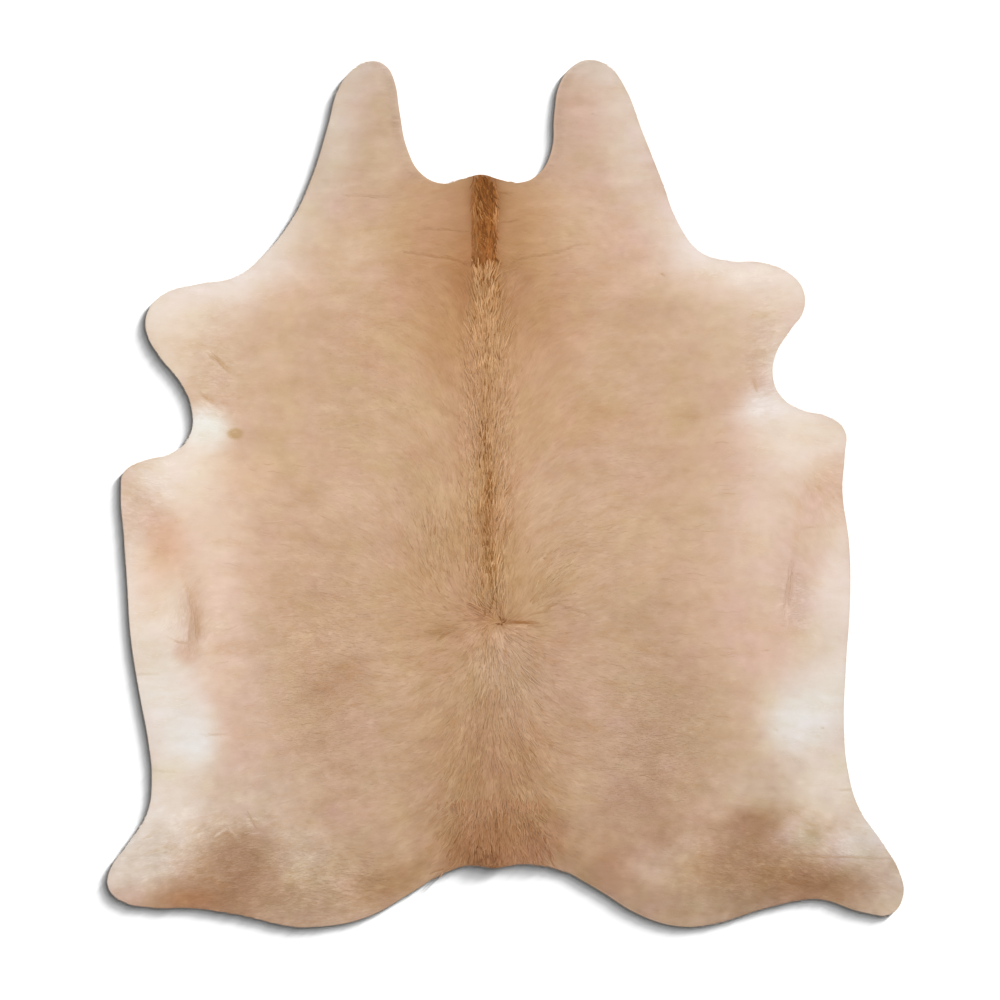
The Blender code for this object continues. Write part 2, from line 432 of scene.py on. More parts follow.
# The coat's colour goes from brown along the back to cream on the belly and nearly white in the armpits
# and at the stifles. Each zone is a soft-edged oval, painted over those before it: softness 1 fades from
# its middle, 0.3 is crisp.
BASE_COLOUR = "#CCAA8C"
Zone = namedtuple("Zone", "name x y half_x half_y colour strength soft turn", defaults=(0.9, 0))
ZONES = [Zone(*row) for row in (
    ("neck and withers", -40, 560, 420, 330, "#CEAB8C", 0.7, 1.0),
    ("rump and hind quarters", -20, -760, 620, 260, "#C1A185", 0.9, 1.0),
    ("right side, low", 430, -560, 260, 190, "#C0A085", 0.65, 1.0),
    ("left side, middle", -480, 40, 200, 330, "#D2B091", 0.5, 1.0),
    ("brown over the back", -44, 60, 170, 620, "#C59A70", 0.55, 1.0),
    ("brown of the loin", -40, -420, 180, 330, "#BB946F", 0.4, 1.0),
    ("brown of the croup", -30, -680, 150, 190, "#B78C67", 0.7, 1.0),
    ("brown beside the mane", -42, 640, 190, 160, "#BC8E66", 0.75, 1.0),
    ("left of the withers", -290, 400, 90, 140, "#C9A27B", 0.5, 1.0),
    ("brown of the withers, left", -130, 440, 100, 190, "#BA8C63", 0.65, 0.9, 15),
    ("brown of the withers, right", 60, 420, 110, 150, "#BB8D66", 0.6, 0.9, -20),
    ("right side of the neck", 260, 640, 110, 140, "#DBBAA1", 0.8, 1.0),
    ("left side of the neck", -385, 600, 80, 120, "#D8BA9F", 0.6, 1.0),
    ("left side, darker", -420, -260, 130, 160, "#C5A181", 0.7, 1.0),
    ("left of the whorl", -180, -210, 90, 140, "#C29A74", 0.6, 1.0),
    ("left side, brown spot", -420, -475, 60, 60, "#BA9475", 0.7, 1.0),
    ("right of the whorl", 300, -300, 140, 60, "#C0A082", 0.6, 1.0),
    ("right side, brown spot", 390, -490, 70, 110, "#B99779", 0.6, 1.0),
    ("below the whorl, grey", 60, -480, 160, 70, "#C6A68A", 0.5, 1.0),
    ("right of the back, grey", 130, -20, 70, 90, "#CAAA8B", 0.5, 1.0),
    ("back above the whorl", -30, -180, 60, 130, "#C0946B", 0.6, 1.0),
    ("left neck lobe", -330, 900, 110, 190, "#C8AB90", 0.9, 0.7, -12),
    ("left lobe, outer side", -410, 880, 50, 190, "#D6C2B0", 0.9, 0.9, -14),
    ("left lobe, tip", -335, 1040, 70, 60, "#D4C0AF", 0.7),
    ("right neck lobe", 215, 880, 120, 190, "#D0B19A", 0.9, 0.7, 12),
    ("right lobe, outer side", 300, 870, 60, 200, "#DDC8B6", 0.9, 0.9, 14),
    ("right lobe, tip", 205, 1040, 80, 60, "#D7C5B4", 0.8),
    ("left shoulder edge", -580, 612, 80, 110, "#E8D8C8", 0.9, 0.9, -40),
    ("right shoulder edge", 465, 608, 75, 110, "#EBDACD", 0.95, 0.9, 35),
    ("left foreleg", -790, 430, 120, 90, "#EDDCCC", 0.95, 0.8),
    ("left foreleg, front edge", -670, 498, 150, 56, "#EEDFD3", 0.95, 0.9, 8),
    ("left foreleg, hind edge", -810, 315, 50, 60, "#E8D3C0", 0.8),
    ("right foreleg", 660, 470, 110, 90, "#E8D3C1", 0.95, 0.8),
    ("right foreleg, front edge", 580, 525, 160, 52, "#EEDDCF", 0.95),
    ("left foreleg, inner", -660, 355, 110, 80, "#DABBA2", 0.7, 1.0),
    ("right foreleg, inner", 530, 410, 120, 80, "#D9BBA2", 0.6, 1.0),
    ("left side, pale band", -740, -170, 112, 470, "#E4C8B1", 0.95, 0.85),
    ("right side, pale band", 660, -60, 140, 420, "#E0C5B1", 0.95),
    ("right foreleg, hind edge", 665, 300, 32, 70, "#E5D2C2", 0.8),
    ("left armpit", -730, 152, 56, 50, "#EFE8E0", 1.0, 0.6),
    ("right armpit", 640, 200, 80, 42, "#EBE0D6", 1.0, 0.8, -12),
    ("left flank, front", -810, 50, 105, 85, "#EEDBCB", 0.95, 0.8, 5),
    ("right flank, front", 735, 125, 130, 85, "#EAD7C7", 0.9, 0.8, -10),
    ("left flank corner", -915, -20, 36, 38, "#DEC3AA", 0.85),
    ("right flank corner", 795, -5, 60, 80, "#D8B396", 0.9, 0.8),
    ("left flank, edge", -880, -245, 78, 180, "#EBD8C8", 0.95, 0.8),
    ("left flank, behind the corner", -840, -95, 90, 38, "#DCBBA1", 0.8, 0.9, -45),
    ("left flank, pink", -855, -195, 45, 75, "#E6C8B1", 0.8),
    # Darker with painted shade in the fold.
    ("left flank fold", -758, -295, 30, 105, "#D8B9A2", 0.9, 0.9, 5),
    ("right flank, edge", 800, -230, 60, 170, "#E9D5C7", 0.9, 0.8),
    # Darker with painted shade in the fold.
    ("right flank fold", 690, -210, 50, 140, "#D4B6A2", 0.75, 0.9, -8),
    ("right flank, pink", 738, -95, 48, 75, "#D6B69D", 0.6),
    ("left belly, cream", -830, -500, 90, 140, "#E7DBD0", 0.95, 0.8),
    ("right belly, cream", 775, -440, 75, 150, "#E3D5C9", 0.95, 0.8),
    ("left stifle, white", -765, -600, 65, 85, "#E6DFD9", 0.95, 0.8),
    ("right stifle, white", 722, -555, 88, 120, "#E2D9D2", 0.95, 0.8),
    ("left flank, low", -610, -520, 60, 180, "#D4B7A3", 0.5, 1.0),
    ("left thigh", -650, -755, 130, 95, "#D1BAA5", 0.85),
    ("right thigh", 640, -720, 110, 80, "#C9B09C", 0.85),
    ("left stifle, cream", -825, -750, 100, 110, "#E5D6C8", 0.95, 0.8),
    ("right stifle, cream", 790, -710, 90, 95, "#DECDBE", 0.95, 0.8),
    ("left hind leg", -910, -890, 110, 90, "#DED0C4", 0.95, 0.8),
    ("right hind leg, upper", 870, -845, 90, 60, "#DBCEC5", 0.9, 0.8, 30),
    ("right hind leg", 905, -950, 100, 70, "#C8B5A2", 0.95, 0.8),
    ("right rump, dark", 310, -770, 90, 130, "#B28F74", 0.75, 1.0),
    ("left rump, pale", -490, -870, 80, 80, "#C9B09A", 0.8),
    ("right rump, pale", 375, -905, 92, 48, "#C8AD95", 0.75, 0.9, 35),
    ("left hind leg, brown", -635, -890, 80, 66, "#AD886C", 0.9, 0.7),
    ("left hind leg, hind edge", -725, -1000, 165, 55, "#A67C5B", 0.95),
    ("right hind leg, brown", 592, -868, 84, 84, "#AC876A", 0.85, 0.8),
    ("right hind leg, hind edge", 720, -955, 150, 55, "#9D7553", 0.95),
    ("right hind leg, inner edge", 590, -1005, 75, 42, "#A07F62", 0.9),
    ("left rump, hind edge", -490, -1015, 120, 50, "#B49479", 0.85),
    ("right rump, hind edge", 440, -1005, 170, 55, "#B09278", 0.85),
    ("left rump, dark spot", -350, -850, 55, 50, "#B39276", 0.6),
    ("right rump, dark spot", 240, -900, 50, 60, "#A9825F", 0.7),
    ("beside the tail, left", -260, -940, 90, 45, "#A67F58", 0.8, 0.9, 20),
    ("tail", -10, -856, 150, 92, "#AA7B56", 0.95, 0.6),
    ("tail, darkest", -70, -900, 60, 40, "#9D6D49", 0.6),
    ("whorl", 0, -310, 52, 22, "#B0835C", 0.5, 1.0),
    ("ground of the mane", -50, 630, 80, 180, "#A97B52", 0.75),
    ("mane", -50, 700, 34, 90, "#86532A", 0.9, 0.6),
    ("foot of the mane", -50, 580, 34, 60, "#9B6538", 0.7, 0.8),
    ("light hair beside the hair line", -48, 200, 62, 400, "#D9A97A", 0.36),
    ("hair line of the back", -46, 60, 16, 340, "#B58659", 0.6),
    ("pale below the whorl", -5, -405, 50, 60, "#D8BCA0", 0.4, 1.0),
    ("left flank, inner", -822, -130, 40, 64, "#D9B08B", 0.7),
    # Darker with painted shade in the crease.
    ("left flank, brown crease", -775, -385, 26, 24, "#C79F80", 0.6),
    ("below the left armpit", -630, 50, 80, 42, "#DFB893", 0.3, 1.0),
    ("right lobe, inner side", 150, 890, 45, 95, "#BFA27F", 0.5, 1.0),
    ("right foreleg, brown spot", 545, 235, 36, 36, "#CBA687", 0.6, 1.0),
    ("left shoulder, tan", -530, 480, 85, 45, "#D6B592", 0.5, 1.0),
    ("beside the tail, right", 195, -918, 70, 34, "#A27D5E", 0.7, 0.9, -25),
    ("tan left of the cowlick", -98, 520, 32, 70, "#AE774A", 0.5, 1.0),
    ("tan of the withers, left edge", -130, 380, 50, 70, "#BB8A5C", 0.4, 1.0),
    ("hair line of the back, middle", -40, -30, 15, 90, "#AC794C", 0.5, 0.8, -3),
    ("hair line of the back, lower", -37, -150, 17, 60, "#A97849", 0.45),
    # Darker with painted shade in the dent.
    ("dent left of the whorl", -150, -336, 38, 17, "#AC835C", 0.4, 0.9, 12),
    ("brown below the whorl", -35, -495, 30, 28, "#B08662", 0.5, 1.0),
    ("right of the tail's root, pale", 75, -812, 40, 40, "#B88E6C", 0.5, 1.0),
    ("right hind leg, pale spot", 728, -832, 66, 36, "#CFBCAC", 0.7, 0.9, -15),
    ("left hind leg, tip", -905, -905, 55, 42, "#CDB8A0", 0.5, 1.0),
    ("left hind leg, orange edge", -765, -985, 50, 22, "#A8774C", 0.6),
    ("right rump, brown spot", 381, -823, 34, 30, "#B08C70", 0.6),
    ("right shoulder, tan", 462, 504, 74, 32, "#D2AA8A", 0.25, 0.9, -10),
    ("left armpit, tan spot", -654, 145, 19, 13, "#C2A077", 0.9, 0.3),
    ("right hind leg, darkest", 602, -797, 56, 30, "#A0785A", 0.7, 0.8),
    ("right hind leg, dark lower spot", 780, -945, 62, 20, "#97704E", 0.3),
    ("right of the tail, brown edge", 288, -978, 62, 46, "#A58464", 0.6, 0.9, -25),
    ("tan right of the withers", 198, 505, 85, 120, "#C7A17D", 0.45, 1.0, -10),
    ("tan right of the back", 180, 178, 140, 52, "#C49A70", 0.4, 1.0),
    ("tan left of the mane", -205, 662, 70, 60, "#BC9270", 0.35, 1.0),
    ("right flank, below the fold", 655, -365, 130, 85, "#D2AF97", 0.5, 1.0),
    ("right side, beside the flank", 540, -245, 95, 115, "#CBA88E", 0.35, 1.0),
    # Darker with painted shade in the fold.
    ("left flank fold, red-brown", -753, -316, 18, 52, "#C59E80", 0.35),
    ("left of the flank fold, pale", -800, -295, 28, 60, "#EAD7C8", 0.4),
    ("left belly, tan", -886, -404, 40, 48, "#E0CCB8", 0.4),
    ("right side, tan", 471, 81, 90, 62, "#CCA887", 0.35, 1.0),
    ("right hind leg, brown lower part", 518, -908, 84, 46, "#AC8867", 0.6),
    ("brown left of the whorl's middle", -45, -290, 32, 24, "#BC8E64", 0.5),
    ("left rump, pale below the thigh", -500, -700, 80, 60, "#CDB39D", 0.3, 1.0),
    ("left rump, upper part", -401, -745, 78, 84, "#BD9C80", 0.3, 1.0),
    ("left thigh, brown spot", -401, -598, 62, 62, "#B49073", 0.4, 1.0),
    ("right stifle, brightest", 702, -562, 48, 46, "#E6E1DD", 0.55),
    ("left stifle, brightest", -752, -612, 34, 30, "#E7E3DF", 0.55),
    ("right stifle, yellow edge", 812, -655, 30, 26, "#D9CCAE", 0.5),
    ("left stifle, yellow edge", -828, -676, 42, 20, "#DDD0B4", 0.5),
    ("left of the croup, paler", -112, -692, 46, 46, "#C8A27F", 0.4),
    ("left of the tail, tan", -208, -792, 52, 44, "#B4906E", 0.35),
    ("left side, tan", -402, 80, 62, 54, "#CAA483", 0.35),
)]


EDGE_PALER = (0, 3, 7)  # of 255, that the short hair at the cut edge is paler
EDGE_PALE_REACH = 35  # mm


def coat_shade(x, y):
    """The coat's colour at places in mm, as sRGB numbers."""
    made = np.empty((len(x), 3))
    made[:] = rgb(BASE_COLOUR)
    for zone in ZONES:
        made += (rgb(zone.colour) - made) * (zone.strength * share_of(zone, x, y))[:, None]
    near_edge = np.exp(-np.maximum(edge_distance(x, y), 0) / EDGE_PALE_REACH)
    return made + near_edge[:, None] * EDGE_PALER / 255


FIELD_SPREAD = 0.6  # of a random field's values, round 0
SPARE_CELLS = 4  # of a random field, round the hide


def random_field(step, seed):
    """A smooth random field over the hide, for read_field: about -1 to 1, with a cloud each step mm."""
    count = np.ceil(np.ptp(cut_edge, 0) / step).astype(int) + SPARE_CELLS
    return np.random.default_rng(seed).normal(0, FIELD_SPREAD, count), cut_edge.min(0) - step, step


def read_field(field, x, y):
    grid, low, step = field
    return read_grid(grid, low, step, x, y)


CLOUDS = ((150, 0.020), (62, 0.036), (30, 0.044), (14, 0.046), (8, 0.024))  # mm between clouds, tone
HIND_CLOUDS = 0.8  # how much stronger the clouds are on the hind quarters
HIND_START = -500  # mm up, where they begin to get stronger
HIND_FULL = -900
PINK_CLOUDS = (140, 55, 26)  # mm between clouds
PINK_OR_YELLOW = (0.008, -0.008, 0.034)  # what a cloud of full strength adds to each colour
CLOUD_IS_BROWN = (0.8, 1.0, 1.2)  # a darker cloud is also a browner one
PALE_GREENS = (0.70, 0.84)  # the coat's green, from where its clouds get calmer to where it is quite pale
PALE_CALM = 0.55  # how much calmer
PALE_IS_CREAM = (0, 0.018, 0.008)  # what a pale coat has more of, of each linear colour
clouds = [(random_field(step, seed=21 + number), tone) for number, (step, tone) in enumerate(CLOUDS)]
pink_clouds = [random_field(step, seed=41 + number) for number, step in enumerate(PINK_CLOUDS)]


def cloud_tone(x, y):
    """What the soft clouds make of the coat's tone at places in mm."""
    stronger = 1 + HIND_CLOUDS * smooth_step((HIND_START - y) / (HIND_START - HIND_FULL))
    return 1 + stronger * sum(tone * read_field(field, x, y) for field, tone in clouds)


def coat_colour(x, y):
    """The coat's linear colour at places in mm, with its soft clouds."""
    shade = coat_shade(x, y)
    pale = smooth_step((shade[:, 1] - PALE_GREENS[0]) / (PALE_GREENS[1] - PALE_GREENS[0]))
    strength = 1 - PALE_CALM * pale
    cloud = 1 + strength * (cloud_tone(x, y) - 1)
    pinkness = strength * sum(read_field(field, x, y) for field in pink_clouds)
    pink = 1 + np.array(PINK_OR_YELLOW) * pinkness[:, None] + np.array(PALE_IS_CREAM) * pale[:, None]
    return to_linear(shade) * pink * cloud[:, None] ** np.array(CLOUD_IS_BROWN)


def colour_layer(mesh, colours):
    """Stores linear colours on a mesh's points, for its material."""
    layer = mesh.color_attributes.new(name="coat", type="FLOAT_COLOR", domain="POINT")
    with_alpha = np.column_stack([colours, np.ones(len(colours))])
    layer.data.foreach_set("color", with_alpha.astype(np.float32).ravel())


PAINTED_GROUND_SHADE = 0.8  # of the coat's own colour, painted shade on the skin where the locks stand apart
DARK_IS_BROWN = (0.55, 1.0, 1.8)  # a tone below 1, of darker hair and of painted shade deep in the coat, is also browner
LIGHT_IS_PALE = (0.75, 1.0, 1.2)


def browner(tone):
    """What each linear colour is multiplied by, where the hair's tone is above or below 1."""
    power = np.where(tone[..., None] < 1, DARK_IS_BROWN, LIGHT_IS_PALE)
    return tone[..., None] ** power


corners = np.empty(len(hide.data.vertices) * 3)
hide.data.vertices.foreach_get("co", corners)
x, y, _ = corners.reshape(-1, 3).T / MM
# Painted shade on the skin between the locks that stand apart.
under = 1 + (PAINTED_GROUND_SHADE - 1) * looseness(x, y) ** 2
colour_layer(hide.data, coat_colour(x, y) * browner(under))


# The hair lies as it grew: from the whorl on the loin it runs to the neck above and to the tail below,
# fanning out from the hair line of the back until it lies straight across the sides. A few places have a
# flow of their own.
WHORL = (-9, -312)
Spine = namedtuple("Spine", "y x left_fan right_fan")  # mm. A fan is how far off the line the hair has turned
SPINE = [Spine(*row) for row in (
    (-1100, -30, 190, 190),
    (-620, -40, 170, 170),
    (-420, -34, 150, 150),
    (-312, -9, 170, 170),
    (-230, -18, 290, 165),
    (-130, -38, 310, 160),
    (-50, -42, 290, 170),
    (60, -46, 230, 190),
    (300, -46, 200, 200),
    (430, -47, 140, 140),
    (535, -48, 80, 80),
    (620, -48, 30, 32),
    (1100, -50, 30, 30),
)]
WHORL_SIZE = 85  # mm
SWIRL = 0.55  # radians, that the hair is turned round at the whorl's middle
SWIRL_SIZE = 55  # mm
NECK_MEETING = 535  # mm, up from the middle, where the hair of the back meets that of the neck
NECK_BEFORE = 20  # mm below it, where the hair begins to turn
NECK_RUN = 50  # mm, in which it has turned
NECK_TURN = 1.5  # past 1 the hair runs the other way
TURN_ASIDE = 1.3  # how soon the hair of the back turns aside
LENGTHWISE = 0.07  # share of the hair's way along the back, on the sides
LENGTHWISE_MORE = 0.95  # what it has more on the hair line
WIDE_TURN = 0.22  # radians, that the wide random field turns it
FINE_TURN = 0.30
Flow = namedtuple("Flow", "name x y half_x half_y heading strength")
FLOWS = [Flow(*row) for row in (
    ("left flank fold", -765, -300, 60, 130, -95, 0.9),
    ("right flank fold", 735, -80, 70, 150, -80, 0.9),
    ("left hind leg", -760, -860, 160, 120, -150, 0.7),
    ("right hind leg", 760, -860, 160, 120, -30, 0.7),
    ("tail", -20, -860, 120, 90, -90, 0.8),
    ("left of the whorl", -165, -105, 90, 120, 93, 0.75),
)]


turning_wide = random_field(70, seed=11)
turning_fine = random_field(22, seed=12)
spine_y, spine_x, left_fans, right_fans = zip(*SPINE)


def from_spine(x, y):
    """How far places are to the right of the hair line, in mm."""
    return x - np.interp(y, spine_y, spine_x)


def way_of(heading):
    """Unit vectors along headings."""
    return np.stack([np.cos(heading), np.sin(heading)], 1)


def heading_of(way):
    return np.arctan2(way[:, 1], way[:, 0])


def left_of(way):
    """Unit vectors square to others, to their left."""
    return np.stack([-way[:, 1], way[:, 0]], 1)


def hair_flow(x, y):
    """The way the hair lies at places in mm, as unit vectors from root to tip."""
    off = from_spine(x, y)
    fan = np.where(off < 0, np.interp(y, spine_y, left_fans), np.interp(y, spine_y, right_fans))
    turned = off / fan
    lengthwise = LENGTHWISE + LENGTHWISE_MORE * np.exp(-(turned**2))
    below_neck = 1 - NECK_TURN * smooth_step((y - NECK_MEETING + NECK_BEFORE) / NECK_RUN)
    up = np.tanh((y - WHORL[1]) / WHORL_SIZE) * lengthwise * below_neck
    way = way_of(np.arctan2(up, np.tanh(turned * TURN_ASIDE)))
    for flow in FLOWS:
        far = ((x - flow.x) / flow.half_x) ** 2 + ((y - flow.y) / flow.half_y) ** 2
        turn = math.radians(flow.heading)
        way += ([math.cos(turn), math.sin(turn)] - way) * (flow.strength * np.exp(-far))[:, None]
    turning = WIDE_TURN * read_field(turning_wide, x, y)
    turning += FINE_TURN * read_field(turning_fine, x, y) * ruffled(x, y)
    from_whorl = (x - WHORL[0]) ** 2 + (y - WHORL[1]) ** 2
    return way_of(heading_of(way) + turning + SWIRL * np.exp(-from_whorl / SWIRL_SIZE**2))


# The skin has creases where it folded on the animal, thin lines along the back where the coat parts, and
# a few healed scratches. The hair dips into the creases and partings, and their darker tone is painted
# shade, with a painted highlight on the slope that faces the window. Pale raised folds, ridges and bumps
# are painted light. Scratches and specks are paler or darker hair of their own.
Mark = namedtuple("Mark", "name x1 y1 x2 y2 width tone dip")  # mm
MARKS = [Mark(*row) for row in (
    ("neck crease, left", -230, 584, -78, 557, 3.2, -0.13, 0.6),
    ("neck crease, left, by the mane", -135, 570, -76, 556, 3.0, -0.11, 0.4),
    ("upper neck crease, left", -195, 642, -84, 634, 2.6, -0.045, 0.3),
    ("neck crease, right", 66, 574, 104, 578, 2.8, -0.13, 0.4),
    ("neck crease, by the mane", -14, 552, 66, 574, 3.0, -0.07, 0.3),
    ("neck crease, far right", 104, 578, 176, 602, 3.0, -0.05, 0.3),
    ("thin line right of the mane", -24, 728, 14, 729, 2.4, -0.09, 0.2),
    ("thin line right of the mane, lower", -18, 655, 16, 661, 2.4, -0.08, 0.2),
    ("parting at the withers", -57, 382, -47, 330, 3.2, -0.22, 0.5),
    ("parting of the back, upper", -50, 335, -47, 262, 3.0, -0.33, 0.6),
    ("parting of the back, middle", -52, 240, -46, 205, 3.2, -0.30, 0.5),
    ("parting of the back, left of it", -60, 300, -58, 225, 2.8, -0.18, 0.4),
    ("parting of the back, lower", -47, 180, -42, 90, 3.6, -0.27, 0.6),
    ("parting of the back, low, left", -60, 118, -57, 66, 3.0, -0.27, 0.5),
    ("parting of the back, low", -50, 74, -44, -20, 3.8, -0.33, 0.7),
    ("parting of the loin, left", -44, -4, -42, -92, 3.4, -0.30, 0.6),
    ("parting of the loin", -32, -30, -34, -100, 3.4, -0.30, 0.6),
    ("parting of the loin, lower", -38, -96, -34, -165, 3.6, -0.27, 0.5),
    ("parting of the loin, right", -20, -120, -17, -180, 3.0, -0.21, 0.4),
    ("parting above the whorl", -46, -170, -54, -196, 3.0, -0.30, 0.4),
    ("parting above the whorl, right", -24, -200, -10, -268, 3.2, -0.21, 0.4),
    ("parting at the whorl", -14, -262, -6, -312, 4.0, -0.33, 0.6),
    ("whorl", -12, -300, -6, -318, 5.0, -0.26, 0.6),
    ("crease right of the whorl", -8, -312, 64, -313, 4.6, -0.55, 0.8),
    ("crease over it", 52, -296, 96, -286, 3.0, -0.17, 0.4),
    ("crease over it, end", 86, -288, 118, -266, 3.4, -0.24, 0.4),
    ("crease far right of the whorl", 124, -268, 190, -290, 3.0, -0.11, 0.3),
    ("dark dent left of the whorl", -188, -338, -124, -330, 11.0, -0.10, 0.5),
    ("lower edge of the dent", -164, -352, -122, -328, 4.4, -0.24, 0.5),
    ("left side, dark spot above the whorl", -148, -186, -130, -200, 4.0, -0.24, 0.4),
    ("left flank, line", -811, -355, -753, -367, 3.4, -0.09, 0.3),
    ("left flank, lower line", -893, -438, -838, -438, 3.4, -0.11, 0.3),
    ("left stifle, line", -728, -585, -668, -585, 3.4, -0.09, 0.3),
    ("right flank, line", 714, -85, 822, -74, 6.4, -0.06, 0.3),
    ("right flank, line, its dark part", 716, -86, 746, -84, 4.0, -0.10, 0.3),
    ("right flank, short line", 620, -380, 640, -378, 3.4, -0.18, 0.3),
    ("right hind leg, upper line", 798, -719, 839, -719, 3.4, -0.15, 0.3),
    ("right hind leg, long line", 701, -876, 931, -884, 3.6, -0.14, 0.5),
    # Paler on the raised ridge and bump: painted light.
    ("right flank, ridge", 676, -240, 682, -318, 5.0, 0.11, -0.4),
    ("right flank, pale bump", 706, -316, 732, -324, 9.0, 0.16, -0.5),
    ("left side, long scratch", -330, 196, -208, 214, 2.4, 0.09, -0.2),
    ("left side, upper scratch", -428, 158, -330, 170, 2.6, 0.09, -0.2),
    ("left side, middle scratch", -455, 8, -290, 26, 2.4, 0.08, -0.2),
    ("left hind leg, healed scratch", -704, -832, -672, -812, 4.0, 0.34, -0.3),
    ("left hind leg, its arch", -672, -812, -644, -840, 4.0, 0.30, -0.3),
    ("left hind leg, small scratch", -626, -790, -594, -788, 3.0, 0.26, -0.2),
    ("left hind leg, second small scratch", -622, -822, -590, -820, 3.0, 0.26, -0.2),
    ("left hind leg, third small scratch", -618, -856, -588, -856, 3.0, 0.24, -0.2),
    ("right thigh, speck", 652, -570, 658, -574, 3.5, -0.18, 0.3),
    ("right hind leg, speck", 764, -568, 770, -570, 3.5, -0.18, 0.3),
    ("left foreleg, dark smudge", -704, 334, -672, 298, 6.0, -0.26, 0.2),
    ("left foreleg, second smudge", -716, 332, -700, 318, 5.0, -0.18, 0.2),
    ("left armpit, dark smudge", -732, 238, -706, 216, 5.0, -0.24, 0.2),
    ("right foreleg, dark smudge", 598, 278, 606, 254, 6.0, -0.24, 0.2),
    ("right shoulder, speck", 370, 537, 382, 530, 3.2, -0.24, 0.2),
    ("left hind leg, dark hair by the arch", -620, -784, -600, -812, 6.0, -0.15, 0.3),
    # Paler on the raised fold: painted light.
    ("left neck, pale fold", -425, 744, -322, 750, 6.0, 0.06, -0.3),
    ("left neck, line below it", -388, 722, -280, 717, 4.0, -0.05, 0.3),
    ("left shoulder, pale streak", -590, 550, -556, 488, 11.0, 0.06, -0.2),
    ("left flank fold, its line", -788, -190, -762, -262, 8.0, -0.06, 0.5),
    ("right flank, brown fold", 712, -5, 696, -165, 10.0, -0.07, 0.5),
    ("right flank, brown fold, lower part", 693, -160, 676, -285, 6.0, -0.13, 0.6),
    ("right flank, second line", 698, -170, 688, -262, 3.0, -0.09, 0.4),
    # The fold's pale side: painted light.
    ("right flank, pale side of the fold", 712, -190, 696, -300, 8.0, 0.05, -0.4),
    ("left flank fold, upper wrinkle", -769, -232, -756, -310, 4.6, -0.11, 0.5),
    ("left flank fold, middle wrinkle", -752, -270, -746, -350, 3.8, -0.12, 0.5),
    ("left flank fold, outer wrinkle", -763, -310, -766, -368, 3.4, -0.11, 0.4),
    ("left stifle, thin line", -848, -672, -800, -676, 3.0, -0.08, 0.3),
    ("left hind leg, fold line", -892, -846, -800, -850, 3.2, -0.07, 0.3),
    ("left hind leg, second fold line", -912, -880, -830, -876, 3.0, -0.05, 0.3),
)]
MARK_WOBBLE = 3  # mm, how far a mark strays from its straight line
MARK_PAINTED_HIGHLIGHT = 0.35  # painted highlight, as a share of a mark's tone, on its slope that faces the window
PAINTED_HIGHLIGHT_ASIDE = 1.7  # of a mark's width, from its middle line to there
MARK_ENDS = 0.15  # square of a mark's strength at its ends, where it is 1 in its middle
wobble = (random_field(26, seed=51), random_field(26, seed=52))


def marked(x, y):
    """What the marks do at places in mm: by what share the coat is paler or darker, with painted shade in
    creases and a painted highlight beside them, and how deep it dips.
    """
    x = x + MARK_WOBBLE * read_field(wobble[0], x, y)
    y = y + MARK_WOBBLE * read_field(wobble[1], x, y)
    tone, dip = np.zeros(x.shape), np.zeros(x.shape)
    for mark in MARKS:
        run_x, run_y = mark.x2 - mark.x1, mark.y2 - mark.y1
        reach = math.hypot(run_x, run_y)
        along = ((x - mark.x1) * run_x + (y - mark.y1) * run_y) / reach**2
        aside = ((y - mark.y1) * run_x - (x - mark.x1) * run_y) / reach
        past = np.maximum(np.abs(along - 0.5) - 0.5, 0) * reach
        taper = np.exp(-((past / mark.width) ** 2)) * np.clip(4 * along * (1 - along), MARK_ENDS, 1) ** 0.5
        lit_side = -1 if run_x - run_y > 0 else 1
        painted_highlight = np.exp(-((aside / mark.width - PAINTED_HIGHLIGHT_ASIDE * lit_side) ** 2)) * MARK_PAINTED_HIGHLIGHT
        line = np.exp(-((aside / mark.width) ** 2))
        tone += mark.tone * (line - painted_highlight) * taper
        dip += mark.dip * line * taper
    return tone, dip


# The coat is short hair, 13 to 30 mm long, which lies in small locks over each other like thatch. Each
# lock is a few narrow wisps that grow from the skin side by side and close up at the tip. Thousands of
# wisps make one piece.
WISP_SPACING = 3.1  # mm, between roots
SMOOTH_DENSITY = 0.62  # of the wisps, where the coat is smooth. They are wider there
WISP_WIDTH = 2.7  # mm, at the middle
SMOOTH_WISP_WIDTH = 3.9
LOCK_SPACING = 9.5  # mm
BACK_HAIR = 30  # mm long
EDGE_HAIR = 13
BACK_HALF_WIDTH = 560  # mm, where the hair is as short as at the edge
OVERHANG = 0.2  # mm, past the cut edge
UV_CELL_SHAPE = 4  # how many times taller than wide a wisp's place on its map is
UV_MARGIN = 0.06  # of that place, left free at each of its sides


def map_columns(count):
    """How many ribbons lie side by side on their map."""
    return math.ceil(math.sqrt(count * UV_CELL_SHAPE))


